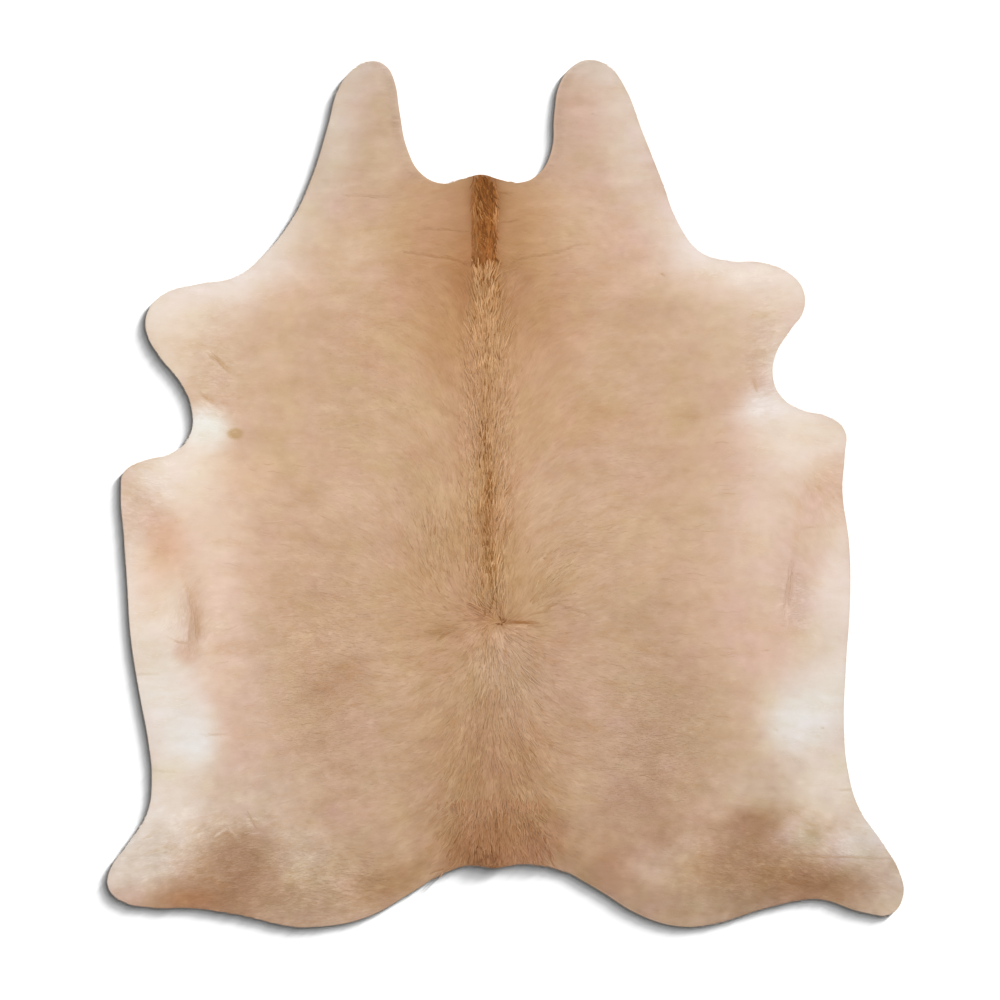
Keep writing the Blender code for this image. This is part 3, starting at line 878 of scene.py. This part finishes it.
def ribbons(name, left, right, tips, colours, own_normals):
    """Many tapered ribbons as one mesh. left and right are (ribbons, steps, 3), tips (ribbons, 3), all in mm.
    The linear colours and the normals are (ribbons, steps + 1, 3). Each has its own place on OFBake."""
    count, steps = left.shape[:2]
    corners = np.concatenate([np.stack([left, right], 2).reshape(count, 2 * steps, 3), tips[:, None]], 1)
    points = 2 * steps + 1
    quads = [(2 * i, 2 * i + 1, 2 * i + 3, 2 * i + 2) for i in range(steps - 1)]
    pattern = np.array([corner for quad in quads for corner in quad] + [points - 3, points - 2, points - 1])
    starts = 4 * np.arange(steps)
    loops = (np.arange(count)[:, None] * points + pattern).ravel()
    loop_starts = (np.arange(count)[:, None] * len(pattern) + starts).ravel()
    mesh = bpy.data.meshes.new(name)
    mesh.vertices.add(count * points)
    mesh.vertices.foreach_set("co", (corners * MM).astype(np.float32).ravel())
    mesh.loops.add(len(loops))
    mesh.loops.foreach_set("vertex_index", loops.astype(np.int32))
    mesh.polygons.add(len(loop_starts))
    mesh.polygons.foreach_set("loop_start", loop_starts.astype(np.int32))
    mesh.update(calc_edges=True)
    along = np.repeat(np.arange(steps) / steps, 2)
    across = np.tile([0.0, 1.0], steps)
    own_place = np.stack([np.append(across, 0.5), np.append(along, 1.0)], 1)
    columns = map_columns(count)
    rows = math.ceil(count / columns)
    cell = np.stack([np.arange(count) % columns, np.arange(count) // columns], 1)[:, None]
    spots = (cell + UV_MARGIN + (1 - 2 * UV_MARGIN) * own_place) / (columns, rows)
    layer = mesh.uv_layers.new(name="OFBake")
    layer.uv.foreach_set("vector", spots.reshape(-1, 2)[loops].astype(np.float32).ravel())
    colours, own_normals = (
        np.concatenate([np.repeat(own[:, :-1], 2, 1), own[:, -1:]], 1).reshape(-1, 3)
        for own in (colours, own_normals)
    )
    colour_layer(mesh, colours)
    mesh.shade_smooth()
    mesh.normals_split_custom_set_from_vertices(own_normals)
    return mesh


ROW_STEP = 0.87  # of the step between roots, from one row to the next
ROOT_INSIDE = 0.6  # mm, from the cut edge
NARROW_FROM = 0.25  # how ruffled a coat is, where its wisps begin to get narrower and closer
NARROW_WITHIN = 0.4  # how much more ruffled it is, where they are as narrow as WISP_WIDTH


def narrowed(rough):
    """From 0 on a smooth coat, with few wide wisps, to 1 on a ruffled one, with many narrow wisps."""
    return smooth_step((rough - NARROW_FROM) / NARROW_WITHIN)


def jittered(step, seed):
    """Roots over the whole hide: a staggered grid, each a little out of its place, only where the hide is."""
    low, high = cut_edge.min(0), cut_edge.max(0)
    x = np.arange(low[0], high[0], step)
    y = np.arange(low[1], high[1], step * ROW_STEP)
    grid_x = x[:, None] + (np.arange(len(y)) % 2)[None, :] * step / 2
    grid_y = y[None, :] + np.zeros((len(x), 1))
    draw = np.random.default_rng(seed)
    off = draw.uniform(-0.5, 0.5, (2, *grid_x.shape)) * step
    x, y = (grid_x + off[0]).ravel(), (grid_y + off[1]).ravel()
    density = SMOOTH_DENSITY + (1 - SMOOTH_DENSITY) * narrowed(ruffled(x, y))
    kept = (edge_distance(x, y) > ROOT_INSIDE) & (draw.uniform(0, 1, len(x)) < density)
    return x[kept], y[kept]


LOCK_LENGTH = 1.9  # how many times longer than wide a lock's ground is, along the hair
SPARE_LOCKS = 4  # round the hide


def lock_of(x, y, way, seed):
    """The lock that each wisp belongs to: its middle, and three random numbers of its own."""
    low = cut_edge.min(0) - SPARE_LOCKS * LOCK_SPACING
    count = np.ceil((cut_edge.max(0) + SPARE_LOCKS * LOCK_SPACING - low) / LOCK_SPACING).astype(int)
    draw = np.random.default_rng(seed)
    own = draw.normal(0, 1, (3, *count))
    middle = draw.uniform(0, 1, (2, *count))
    middle[0] += np.arange(count[0])[:, None]
    middle[1] += np.arange(count[1])[None, :]
    middle = middle * LOCK_SPACING + low[:, None, None]
    i = ((x - low[0]) / LOCK_SPACING).astype(int)
    j = ((y - low[1]) / LOCK_SPACING).astype(int)
    nearest = np.full(len(x), FAR)
    found = np.zeros((len(x), 2), int)
    for step_i in range(-2, 3):
        for step_j in range(-2, 3):
            at = middle[:, i + step_i, j + step_j]
            dx, dy = x - at[0], y - at[1]
            along = dx * way[:, 0] + dy * way[:, 1]
            aside = dy * way[:, 0] - dx * way[:, 1]
            far = (along / LOCK_LENGTH) ** 2 + aside**2
            closer = far < nearest
            nearest = np.where(closer, far, nearest)
            found[closer] = np.stack([i + step_i, j + step_j], 1)[closer]
    return middle[:, found[:, 0], found[:, 1]].T, own[:, found[:, 0], found[:, 1]]


STREAK_SAMPLES = 7


def along_hair(field, x, y, way, reach):
    """A random field drawn out along the hair, into streaks about reach mm long."""
    steps = np.linspace(-reach / 2, reach / 2, STREAK_SAMPLES)
    drawn = [read_field(field, x + way[:, 0] * step, y + way[:, 1] * step) for step in steps]
    return np.sum(drawn, 0) / math.sqrt(STREAK_SAMPLES)


def unit(vectors):
    return vectors / np.linalg.norm(vectors, axis=-1, keepdims=True)


def varied(draw, spread, count):
    """Random factors round 1."""
    return np.exp(draw.normal(0, spread, count))


LOCK_SWING = 0.17  # radians, that a loose lock is turned
WISP_SWING = 0.10
EDGE_SHORTER = 0.6  # share of the back's extra length that the hair has not, at the cut edge
SHORTER_WITHIN = 60  # mm from it
LENGTH_SPREAD = 0.16
CLOSING = 0.6  # share of its way to the lock's middle line that a wisp's tip goes
CLOSED_FOR = 1.6  # times the coat's looseness, up to 1, is the share of CLOSING there
LEAST_OVERHANG = 0.2  # of the overhang
SHORTEST = 0.25  # of a wisp's length, that is left of it at the cut edge
WISP_MIDDLE = 0.45  # of a wisp's length, from its root
WISP_BEND = 0.035  # of its length, to a side
LEAST_DEPTH = 0.12  # mm, of the coat
LIFT = 0.62  # of the coat's depth, where a wisp's middle lies over the skin
LOCK_LIFT = 0.18  # how much that differs from lock to lock
WISP_LIFT = 0.2
LIFTS = (0.15, 1.25)  # lowest and highest
TIP_LIFT = 0.08  # how much higher a loose wisp's tip lies
TIP_LIFTS = (0.1, 1.4)
LEAST_LIFT = 0.05  # mm
SHORT_NARROWER = 0.3  # how much narrower the shortest hair's wisps are
EDGE_NARROWER = 0.6  # how much narrower they are at the cut edge
NARROWER_WITHIN = 9  # mm from it
WIDTH_SPREAD = 0.15
WISP_ROLL = 0.22  # how far a loose wisp is tilted round its own length
ROOT_DEPTH = 0.04  # mm, under the top of the skin
LOOSE_ROOT_DEPTH = 0.2
ROOT_WIDTH = 0.65  # of a wisp's width at its middle
LOCK_TONE = 0.09
WISP_TONE = 0.075
WISP_TONES = (0.35, 1.5)  # darkest and lightest
# Tones from root to tip: the darker roots are painted shade, deeper where the locks stand apart.
SMOOTH_TONES = (0.992, 1.0, 1.003)  # from root to tip
SMOOTH_PAINTED_SHADE = 0.024  # painted shade on a smooth coat's hair, in place of the shade between locks that it lacks
RUFFLED_TONES = (0.80, 1.0, 1.08)
UPRIGHT = 0.92  # how far a smooth coat's normals are turned up, as fine hair scatters light like felt
Streaks = namedtuple("Streaks", "field length tone on_smooth")  # on_smooth: how strong on the smoothest coat
STREAKS = (
    Streaks(random_field(19, seed=31), 70, 0.055, 0.45),
    Streaks(random_field(8, seed=32), 36, 0.055, 0.12),
)


def coat_wisps(x, y, seed):
    """The wisps whose roots are at the places: their left and right sides, tips, colours and normals."""
    draw = np.random.default_rng(seed)
    count = len(x)
    way = hair_flow(x, y)
    rough = ruffled(x, y)
    loose = looseness(x, y)
    middle, own = lock_of(x, y, way, seed + 1)
    way = way_of(heading_of(way) + loose * (LOCK_SWING * own[0] + draw.normal(0, WISP_SWING, count)))
    side = left_of(way)
    root = np.stack([x, y], 1)
    full = 1 - smooth_step(np.abs(from_spine(x, y)) / BACK_HALF_WIDTH)
    full *= smooth_step(edge_distance(x, y) / SHORTER_WITHIN) * EDGE_SHORTER + (1 - EDGE_SHORTER)
    length = (EDGE_HAIR + (BACK_HAIR - EDGE_HAIR) * full) * varied(draw, LENGTH_SPREAD, count)
    aside = ((root - middle) * side).sum(1)
    closing = CLOSING * np.clip(CLOSED_FOR * loose, 0, 1)
    tip = root + way * length[:, None] - side * (aside * closing)[:, None]
    past = -edge_distance(*tip.T) - OVERHANG * draw.uniform(LEAST_OVERHANG, 1, count)
    shorter = np.clip(1 - np.maximum(past, 0) / length, SHORTEST, 1)
    tip = root + (tip - root) * shorter[:, None]
    bend = draw.normal(0, WISP_BEND, count) * length
    mid = root + (tip - root) * WISP_MIDDLE + side * bend[:, None]
    skin = skin_top(x, y)
    depth = np.maximum(coat_top(x, y) - skin, LEAST_DEPTH)
    lift = np.clip(LIFT + loose * (LOCK_LIFT * own[1] + draw.normal(0, WISP_LIFT, count)), *LIFTS)
    lift_tip = np.clip(lift + loose * draw.normal(TIP_LIFT, WISP_LIFT, count), *TIP_LIFTS)
    places = (root, mid, tip)
    at_marks = [marked(*place.T) for place in places]
    mid_z = skin_top(*mid.T) + np.maximum(depth * lift - at_marks[1][1], LEAST_LIFT)
    tip_z = skin_top(*tip.T) + np.maximum(depth * lift_tip - at_marks[2][1], LEAST_LIFT)
    width = SMOOTH_WISP_WIDTH + (WISP_WIDTH - SMOOTH_WISP_WIDTH) * narrowed(rough)
    half = width / 2 * (1 - SHORT_NARROWER + SHORT_NARROWER * full) * varied(draw, WIDTH_SPREAD, count)
    half *= 1 - EDGE_NARROWER + EDGE_NARROWER * smooth_step(edge_distance(x, y) / NARROWER_WITHIN)
    roll = draw.normal(0, WISP_ROLL, count) * loose
    root_z = skin - ROOT_DEPTH - LOOSE_ROOT_DEPTH * loose
    line = np.stack([np.column_stack([root, root_z]), np.column_stack([mid, mid_z])], 1)
    tips = np.column_stack([tip, tip_z])
    half_widths = np.stack([half * ROOT_WIDTH, half], 1)
    flat_side = np.column_stack([side, np.zeros(count)])
    offset = np.repeat(flat_side[:, None], 2, 1) * half_widths[:, :, None]
    offset[:, :, 2] = np.stack([roll * 0.5, roll], 1) * half_widths
    runs = np.diff(np.concatenate([line, tips[:, None]], 1), axis=1)
    ways = np.stack([runs[:, 0], unit(runs[:, 0]) + unit(runs[:, 1]), runs[:, 1]], 1)
    turned = unit(np.cross(ways, offset[:, [0, 1, 1]]))
    upright = (UPRIGHT * (1 - rough))[:, None, None]
    own_normals = unit(turned * (1 - upright) + np.array([0, 0, 1]) * upright)
    tone = 1 + loose * LOCK_TONE * own[2] + loose**1.5 * WISP_TONE * draw.normal(0, 1, count)
    for streaks in STREAKS:
        drawn = along_hair(streaks.field, x, y, way, streaks.length)
        tone += (streaks.on_smooth + rough) * streaks.tone * drawn
    # Painted shade over the smooth coat.
    tone -= SMOOTH_PAINTED_SHADE * (1 - smooth_step(rough / RUFFLE_AT_GROUND))
    # Painted shade at the roots, stronger where the locks stand apart.
    steps = np.array(SMOOTH_TONES) + (np.array(RUFFLED_TONES) - SMOOTH_TONES) * loose[:, None] ** 2
    tones = np.clip(tone[:, None] * steps, *WISP_TONES)
    shade = np.stack([coat_colour(*place.T) for place in places], 1)
    # The marks' tones: painted shade in creases and partings, a painted highlight beside them, scratches and
    # specks.
    tones *= 1 + np.stack([tone for tone, _ in at_marks], 1)
    return line + offset, line - offset, tips, shade * browner(tones), own_normals


# Cattle hair, clean and brushed after tanning, with a faint sheen.
hair = coat_material("short cattle hair", roughness=0.6, gloss=0.14)

Strip = namedtuple("Strip", "name left right")
STRIPS = (
    Strip("coat_left_flank", -1000, -505),
    Strip("coat_left_side", -505, -205),
    Strip("coat_back", -205, 95),
    Strip("coat_right_side", 95, 395),
    Strip("coat_right_flank", 395, 1000),
)


def add_hair(name, mesh):
    """Makes a mesh of hair one of the coat's pieces."""
    mesh.materials.append(hair)
    piece = bpy.data.objects.new(name, mesh)
    scene.collection.objects.link(piece)
    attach(piece, "root")
    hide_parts("cowhide")


roots_x, roots_y = jittered(WISP_SPACING, 31)
for number, strip in enumerate(STRIPS):
    own = (roots_x >= strip.left) & (roots_x < strip.right)
    x, y = roots_x[own], roots_y[own]
    row = np.empty(len(y), int)
    row[np.argsort(y, kind="stable")] = np.arange(len(y)) // map_columns(len(y))
    order = np.lexsort((x, row))
    add_hair(strip.name, ribbons(strip.name, *coat_wisps(x[order], y[order], 100 + number)))


# On the mane, at the cowlick below it, along the back and on the tail, longer locks lie over the short
# coat. A lock is three strands of hair that part from one root and close up at the tip, with a slight
# wave.
LOCK_STEPS = np.array([0, 0.25, 0.5, 0.75, 1])  # along a lock, from its root to its tip
LOCK_HEIGHTS = np.array([-0.5, 0.7, 1.0, 0.85, 0.25])  # of its lift, over the coat
LOCK_TONES = np.array([0.8, 0.95, 1.01, 1.04, 1.06])  # root to tip, of a lock that lies 1 mm or more over the coat: painted shade at its root
TUFT_SOFTNESS = 0.22  # of a tuft's half widths
STRANDS = np.array([-0.66, 0, 0.66])  # across a lock, from -1 to 1
STRAND_WIDTH = 0.42  # of the lock's
STRAND_TONE = 0.1
STRAND_TONES = (0.3, 1.6)  # darkest and lightest
STRAND_ASIDE = 0.12  # how far a strand strays from its place across the lock
STRAND_TAPER = 0.35  # of a strand's width, lost from root to tip
STRAND_TILT = 0.5
SIDES_LOWER = 0.25  # of a lock's lift, at its sides
CROSS_ROUNDING = 1.1  # how far the strands at a lock's sides are turned outwards
LOCK_LENGTH_SPREAD = 0.22
LOCK_WIDTH_SPREAD = 0.2
LOCK_LIFT_SPREAD = 0.25
LOCK_BEND = 0.5  # of its wave
LOCK_SWAY = 0.16
LOCK_CLOSING = 0.8  # of a lock's width, lost from root to tip
CUT_SHORT = 1.2  # times what a lock would pass the cut edge by, taken off it
SHORTEST_LOCK = 4  # mm
Tuft = namedtuple(
    "Tuft", "name x y half_x half_y heading fan spread count length width lift wave colour vary"
)
AS_IT_LIES = None  # as a heading. As a colour, None is the coat's own


def locks(x, y, heading, length, width, lift, wave, shade, tone, draw):
    """Locks that grow from the places, one ribbon a strand: their two sides, tips, colours and normals."""
    count = len(x)
    way = way_of(heading)
    side = left_of(way)
    length = length * varied(draw, LOCK_LENGTH_SPREAD, count)
    past = -edge_distance(x + way[:, 0] * length, y + way[:, 1] * length)
    length = np.maximum(length - np.maximum(past, 0) * CUT_SHORT, SHORTEST_LOCK)
    bend, phase = draw.normal(0, LOCK_BEND, count), draw.uniform(0, 1, count)
    turns = 2 * math.pi * (LOCK_STEPS + phase[:, None])
    sway = wave * (np.sin(turns) - np.sin(turns[:, :1])) * LOCK_SWAY
    sway += wave * bend[:, None] * LOCK_STEPS**2
    middle = np.stack([x, y], 1)[:, None] + way[:, None] * (length[:, None] * LOCK_STEPS)[:, :, None]
    middle = middle + side[:, None] * (length[:, None] * sway)[:, :, None]
    raised = lift * varied(draw, LOCK_LIFT_SPREAD, count)
    over = coat_top(middle[:, :, 0], middle[:, :, 1]) + raised[:, None] * LOCK_HEIGHTS
    rise = np.gradient(over, axis=1) / (length[:, None] * LOCK_STEPS[1])
    width = width * varied(draw, LOCK_WIDTH_SPREAD, count)
    closing = 1 - LOCK_CLOSING * LOCK_STEPS**1.5
    standing = min(lift, 1)
    # The lock's tones from root to tip, with painted shade at the root, are stronger the higher it lies.
    tones = 1 + (LOCK_TONES - 1) * standing
    strands = []
    for strand in STRANDS:
        place = strand + draw.normal(0, STRAND_ASIDE, count)
        line = middle + side[:, None] * (place[:, None] * width[:, None] / 2 * closing)[:, :, None]
        height = over - SIDES_LOWER * place[:, None] ** 2 * raised[:, None]
        line = np.concatenate([line, height[:, :, None]], 2)
        half = (width * STRAND_WIDTH / 2)[:, None] * (1 - STRAND_TAPER * LOCK_STEPS)
        offset = np.zeros(line.shape)
        offset[:, :, :2] = side[:, None] * half[:, :, None]
        offset[:, :, 2] = -half * place[:, None] * STRAND_TILT
        normal = np.zeros(line.shape)
        normal[:, :, 2] = 1
        rounding = place * CROSS_ROUNDING * standing
        normal[:, :, :2] = side[:, None] * rounding[:, None, None] - way[:, None] * rise[:, :, None]
        strand_tone = (tone * (1 + standing * draw.normal(0, STRAND_TONE, count)))[:, None] * tones
        colour = shade[:, None] * browner(np.clip(strand_tone, *STRAND_TONES))
        left, right = (line + offset)[:, :-1], (line - offset)[:, :-1]
        strands.append((left, right, line[:, -1], colour, unit(normal)))
    return [np.concatenate(arrays) for arrays in zip(*strands)]


LOCK_CLOUDS = 3  # how many times stronger the clouds are on locks with a colour of their own
LOCK_CLOUDS_END = (-400, -600)  # mm up, from where they get as soft as the coat's to where they are
TUFT_INSIDE = 1  # mm, from the cut edge
TUFT_TONES = (0.5, 1.6)  # darkest and lightest


def tuft_locks(tuft, draw):
    """The locks of a tuft, which fills a soft-edged box."""
    out = draw.uniform(-1, 1, (2, tuft.count)) + draw.normal(0, TUFT_SOFTNESS, (2, tuft.count))
    x, y = tuft.x + tuft.half_x * out[0], tuft.y + tuft.half_y * out[1]
    inside = edge_distance(x, y) > TUFT_INSIDE
    x, y = x[inside], y[inside]
    count = len(x)
    if tuft.heading is AS_IT_LIES:
        heading = heading_of(hair_flow(x, y))
    else:
        heading = np.radians(tuft.heading - tuft.fan * (x - tuft.x) / tuft.half_x)
    heading = heading + draw.normal(0, math.radians(tuft.spread), count)
    if tuft.colour is None:
        shade = coat_colour(x, y)
    else:
        softer = smooth_step((LOCK_CLOUDS_END[0] - y) / (LOCK_CLOUDS_END[0] - LOCK_CLOUDS_END[1]))
        power = LOCK_CLOUDS + (1 - LOCK_CLOUDS) * softer
        shade = to_linear(rgb(tuft.colour)) * (cloud_tone(x, y) ** power)[:, None]
    tone = np.clip(1 + draw.normal(0, tuft.vary, count), *TUFT_TONES)
    return locks(x, y, heading, tuft.length, tuft.width, tuft.lift, tuft.wave, shade, tone, draw)


CREASE_STEP = 2.6  # mm, between the locks along a crease
CREASE_SPREAD = 7  # degrees
CREASE_ASIDE = 0.16  # of a crease's width, that its locks stray from its line
CREASE_INSIDE = 3  # mm, from the cut edge
CREASE_TONES = (0.25, 0.75)  # of a mark's tone (painted shade along a crease), at its ends and in its middle
CREASE_LENGTH = 0.45  # of a crease's length, its locks
LONGEST_CREASE_LOCK = 16  # mm
CREASE_WIDTH = 0.55  # of a crease's width, its locks
CREASE_LIFT = 0.25  # mm
CREASE_WAVE = 0.08
LEAST_CREASE_LOCKS = 3
FOLD_WIDTH = 6  # mm. A mark as wide as this and fainter than FOLD_TONE is a soft fold, without locks
FOLD_TONE = 0.1


def has_locks(mark):
    return mark.width < FOLD_WIDTH or abs(mark.tone) >= FOLD_TONE


def crease_locks(mark, draw):
    """Flat locks along a crease or a scratch, in its tone (painted shade along a crease), which fades towards
    its ends.
    """
    run_x, run_y = mark.x2 - mark.x1, mark.y2 - mark.y1
    reach = math.hypot(run_x, run_y)
    count = LEAST_CREASE_LOCKS + int(reach / CREASE_STEP)
    share = draw.uniform(0, 1, count)
    aside = draw.normal(0, CREASE_ASIDE * mark.width, count)
    x = mark.x1 + share * run_x - aside * run_y / reach
    y = mark.y1 + share * run_y + aside * run_x / reach
    x, y = (at - MARK_WOBBLE * read_field(field, x, y) for at, field in zip((x, y), wobble))
    inside = edge_distance(x, y) > CREASE_INSIDE
    x, y, share = x[inside], y[inside], share[inside]
    count = len(x)
    flow = hair_flow(x, y)
    back = (flow[:, 0] * run_x + flow[:, 1] * run_y) < 0
    swing = draw.normal(0, math.radians(CREASE_SPREAD), count)
    heading = math.atan2(run_y, run_x) + math.pi * back + swing
    tone = 1 + mark.tone * np.clip(3 * share * (1 - share), *CREASE_TONES)
    length = min(CREASE_LENGTH * reach, LONGEST_CREASE_LOCK)
    width = CREASE_WIDTH * mark.width
    return locks(x, y, heading, length, width, CREASE_LIFT, CREASE_WAVE, coat_colour(x, y), tone, draw)


MANE = [Tuft(*row) for row in (
    ("mane, soft left edge", -77, 660, 4, 84, -87, 0, 10, 90, 24, 2.8, 0.7, 0.2, "#A36B3C", 0.12),
    ("mane, soft right edge", -26, 670, 4, 92, -85, 0, 10, 90, 24, 2.8, 0.7, 0.2, "#B27C4E", 0.12),
    ("mane, lower layer", -53, 676, 18, 92, -82, 4, 6, 420, 36, 6.0, 0.9, 0.15, "#925A28", 0.14),
    ("mane, at the neck edge", -54, 742, 17, 24, -76, 8, 8, 110, 32, 5.0, 1.2, 0.25, "#824F1F", 0.2),
    ("mane, dark right side", -42, 734, 8, 22, -82, 0, 7, 36, 30, 4.4, 1.2, 0.25, "#75451C", 0.1),
    ("mane, light left side", -69, 736, 5, 16, -76, 0, 8, 12, 30, 4.0, 1.6, 0.3, "#A9733E", 0.06),
    ("mane, middle", -56, 708, 14, 32, -70, 5, 6, 90, 38, 4.2, 1.6, 0.3, "#8E5626", 0.2),
    ("mane, light waves", -62, 704, 9, 28, -64, 0, 5, 18, 40, 4.2, 1.8, 0.35, "#AE7844", 0.08),
    # Dark locks laid in the gaps between the waves: painted shade.
    ("mane, dark gaps between them", -59, 706, 9, 30, -68, 0, 5, 30, 34, 4.0, 1.6, 0.35, "#77471D", 0.08),
    ("mane, hair down its left edge", -75, 722, 2, 36, -88, 0, 3, 14, 44, 2.6, 1.3, 0.15, "#AF7A48", 0.06),
    # Dark locks laid in the gap at the mane's edge: painted shade.
    ("mane, dark gap down its right edge", -33, 690, 2, 36, -91, 0, 3, 24, 34, 3.0, 1.3, 0.1, "#744619", 0.08),
    ("mane, red-brown part", -50, 622, 16, 42, -86, 0, 5, 180, 34, 7, 0.9, 0.12, "#A86A35", 0.06),
    ("mane, left of that", -71, 640, 4, 44, -86, 0, 5, 50, 34, 4.6, 1.1, 0.15, "#A57040", 0.07),
    ("mane, small waves", -62, 624, 8, 12, -58, 0, 6, 6, 26, 3.6, 1.5, 0.35, "#B07A46", 0.05),
    ("mane, small dark waves", -60, 622, 8, 12, -58, 0, 6, 7, 24, 3.0, 1.4, 0.35, "#875226", 0.06),
    # Dark locks laid in the gap at the mane's edge: painted shade.
    ("mane, dark gap, lower", -30, 618, 3, 24, -84, 0, 4, 20, 30, 2.8, 1.3, 0.1, "#7A4A20", 0.06),
    ("mane, foot", -49, 584, 18, 12, -88, 0, 8, 80, 22, 5.5, 1.0, 0.2, "#A66F40", 0.06),
    ("mane, dark foot, left", -75, 572, 4, 5, -100, 0, 16, 8, 13, 3.2, 1.3, 0.3, "#8E5A2C", 0.08),
    ("mane, dark foot, right", -26, 571, 5, 5, -80, 0, 20, 14, 13, 3.0, 1.3, 0.3, "#7C4C22", 0.1),
)]
COWLICK = [Tuft(*row) for row in (
    ("cowlick, ground", -49, 450, 23, 76, 90, 12, 5, 300, 34, 4.6, 0.9, 0.1, "#BC8D5F", 0.08),
    ("cowlick, top", -50, 512, 14, 20, 90, 18, 6, 36, 40, 3.4, 1.6, 0.2, "#C8996B", 0.08),
    ("cowlick, light hair", -50, 440, 22, 60, 90, 18, 6, 105, 36, 3.0, 1.3, 0.2, "#CCA073", 0.09),
    ("cowlick, light hair at the sides", -45, 370, 32, 40, 90, 18, 5, 110, 34, 2.8, 1.1, 0.12, "#CCA074", 0.06),
    # Dark locks laid in the gaps between the light hair: painted shade.
    ("cowlick, dark gaps", -47, 512, 17, 32, 90, 18, 5, 32, 32, 2.4, 1.5, 0.2, "#96602E", 0.06),
    ("cowlick, dark gaps, lower", -45, 430, 24, 56, 90, 13, 5, 50, 32, 2.0, 1.4, 0.12, "#9C6A36", 0.07),
)]
BACK_LOCKS = [Tuft(*row) for row in (
    ("beside the hair line", -45, 100, 40, 300, AS_IT_LIES, 0, 6, 800, 32, 3.6, 0.9, 0.12, None, 0.08),
    ("on the hair line", -45, 90, 16, 320, AS_IT_LIES, 0, 5, 560, 34, 3.0, 1.3, 0.15, None, 0.11),
    ("light hair along the hair line", -47, 200, 20, 190, 90, 7, 5, 190, 34, 2.4, 1.6, 0.15, "#CFA377", 0.07),
    ("light hair, lower", -42, -60, 27, 110, 90, 12, 6, 90, 30, 2.4, 1.3, 0.15, "#C99B6C", 0.07),
    # Dark locks laid in the gaps of the hair line: painted shade.
    ("dark gaps of the hair line", -45, 90, 11, 310, 90, 0, 5, 150, 24, 1.7, 1.6, 0.12, "#9E6C3A", 0.09),
    ("dark gaps, upper part", -52, 130, 9, 56, 92, 0, 7, 36, 20, 1.8, 1.6, 0.25, "#93602F", 0.08),
    ("dark gaps, middle part", -41, -15, 9, 80, 88, 0, 6, 54, 26, 1.9, 1.6, 0.3, "#93602F", 0.08),
    ("dark gaps, lower part", -37, -172, 12, 40, 90, 0, 8, 24, 22, 1.8, 1.6, 0.25, "#8E5E32", 0.08),
    ("on the loin", -38, -145, 20, 100, AS_IT_LIES, 0, 6, 220, 32, 3.2, 1.3, 0.15, None, 0.11),
    ("light hair on the loin", -34, -160, 24, 110, 90, 10, 6, 90, 34, 2.6, 1.4, 0.15, "#CFA57C", 0.06),
    # Dark locks laid in the gaps of the loin: painted shade.
    ("dark gaps of the loin", -32, -150, 10, 120, 90, 0, 6, 70, 24, 1.8, 1.5, 0.12, "#A1713F", 0.08),
    ("left of the whorl", -150, -120, 55, 70, AS_IT_LIES, 0, 6, 120, 24, 2.8, 0.6, 0.15, None, 0.08),
    ("right of the whorl", 110, -205, 50, 60, AS_IT_LIES, 0, 6, 80, 24, 2.8, 0.6, 0.15, None, 0.07),
    ("round the whorl", -9, -312, 70, 60, AS_IT_LIES, 0, 10, 40, 22, 2.6, 0.5, 0.2, None, 0.06),
    ("whorl, dark centre", -9, -311, 5, 8, 90, 30, 30, 9, 10, 2.0, 1.0, 0.3, "#946339", 0.1),
    ("below the whorl", -10, -420, 60, 80, AS_IT_LIES, 0, 5, 150, 34, 3.2, 0.7, 0.12, None, 0.06),
    ("croup", -30, -640, 90, 150, AS_IT_LIES, 0, 7, 280, 32, 3.6, 0.7, 0.15, None, 0.06),
)]
TAIL_LOCKS = [Tuft(*row) for row in (
    ("root of the tail", -20, -850, 100, 80, AS_IT_LIES, 0, 9, 500, 30, 4.6, 1.0, 0.2, None, 0.08),
    ("hair over the tail's root", -20, -748, 100, 9, -90, 8, 6, 150, 26, 3.0, 1.1, 0.2, "#B98C68", 0.05),
    ("tail, dark hair", -52, -880, 34, 30, -94, 0, 9, 60, 30, 4.0, 1.2, 0.25, "#8A5E3E", 0.08),
)]
STRAYS = [Tuft(*row) for row in (
    ("left side", -380, -300, 230, 400, AS_IT_LIES, 0, 9, 320, 34, 1.7, 0.15, 0.2, None, 0.07),
    ("right side", 300, -300, 230, 400, AS_IT_LIES, 0, 9, 320, 34, 1.7, 0.15, 0.2, None, 0.07),
)]
TUFTS = (
    ("mane", MANE),
    ("cowlick", COWLICK),
    ("back_locks", BACK_LOCKS),
    ("tail_locks", TAIL_LOCKS),
    ("stray_hair", STRAYS),
)
for number, (name, tufts) in enumerate(TUFTS):
    draw = np.random.default_rng(200 + number)
    made = [tuft_locks(tuft, draw) for tuft in tufts]
    add_hair(name, ribbons(name, *(np.concatenate(arrays) for arrays in zip(*made))))
draw = np.random.default_rng(300)
made = [crease_locks(mark, draw) for mark in MARKS if has_locks(mark)]
add_hair("crease_hair", ribbons("crease_hair", *(np.concatenate(arrays) for arrays in zip(*made))))
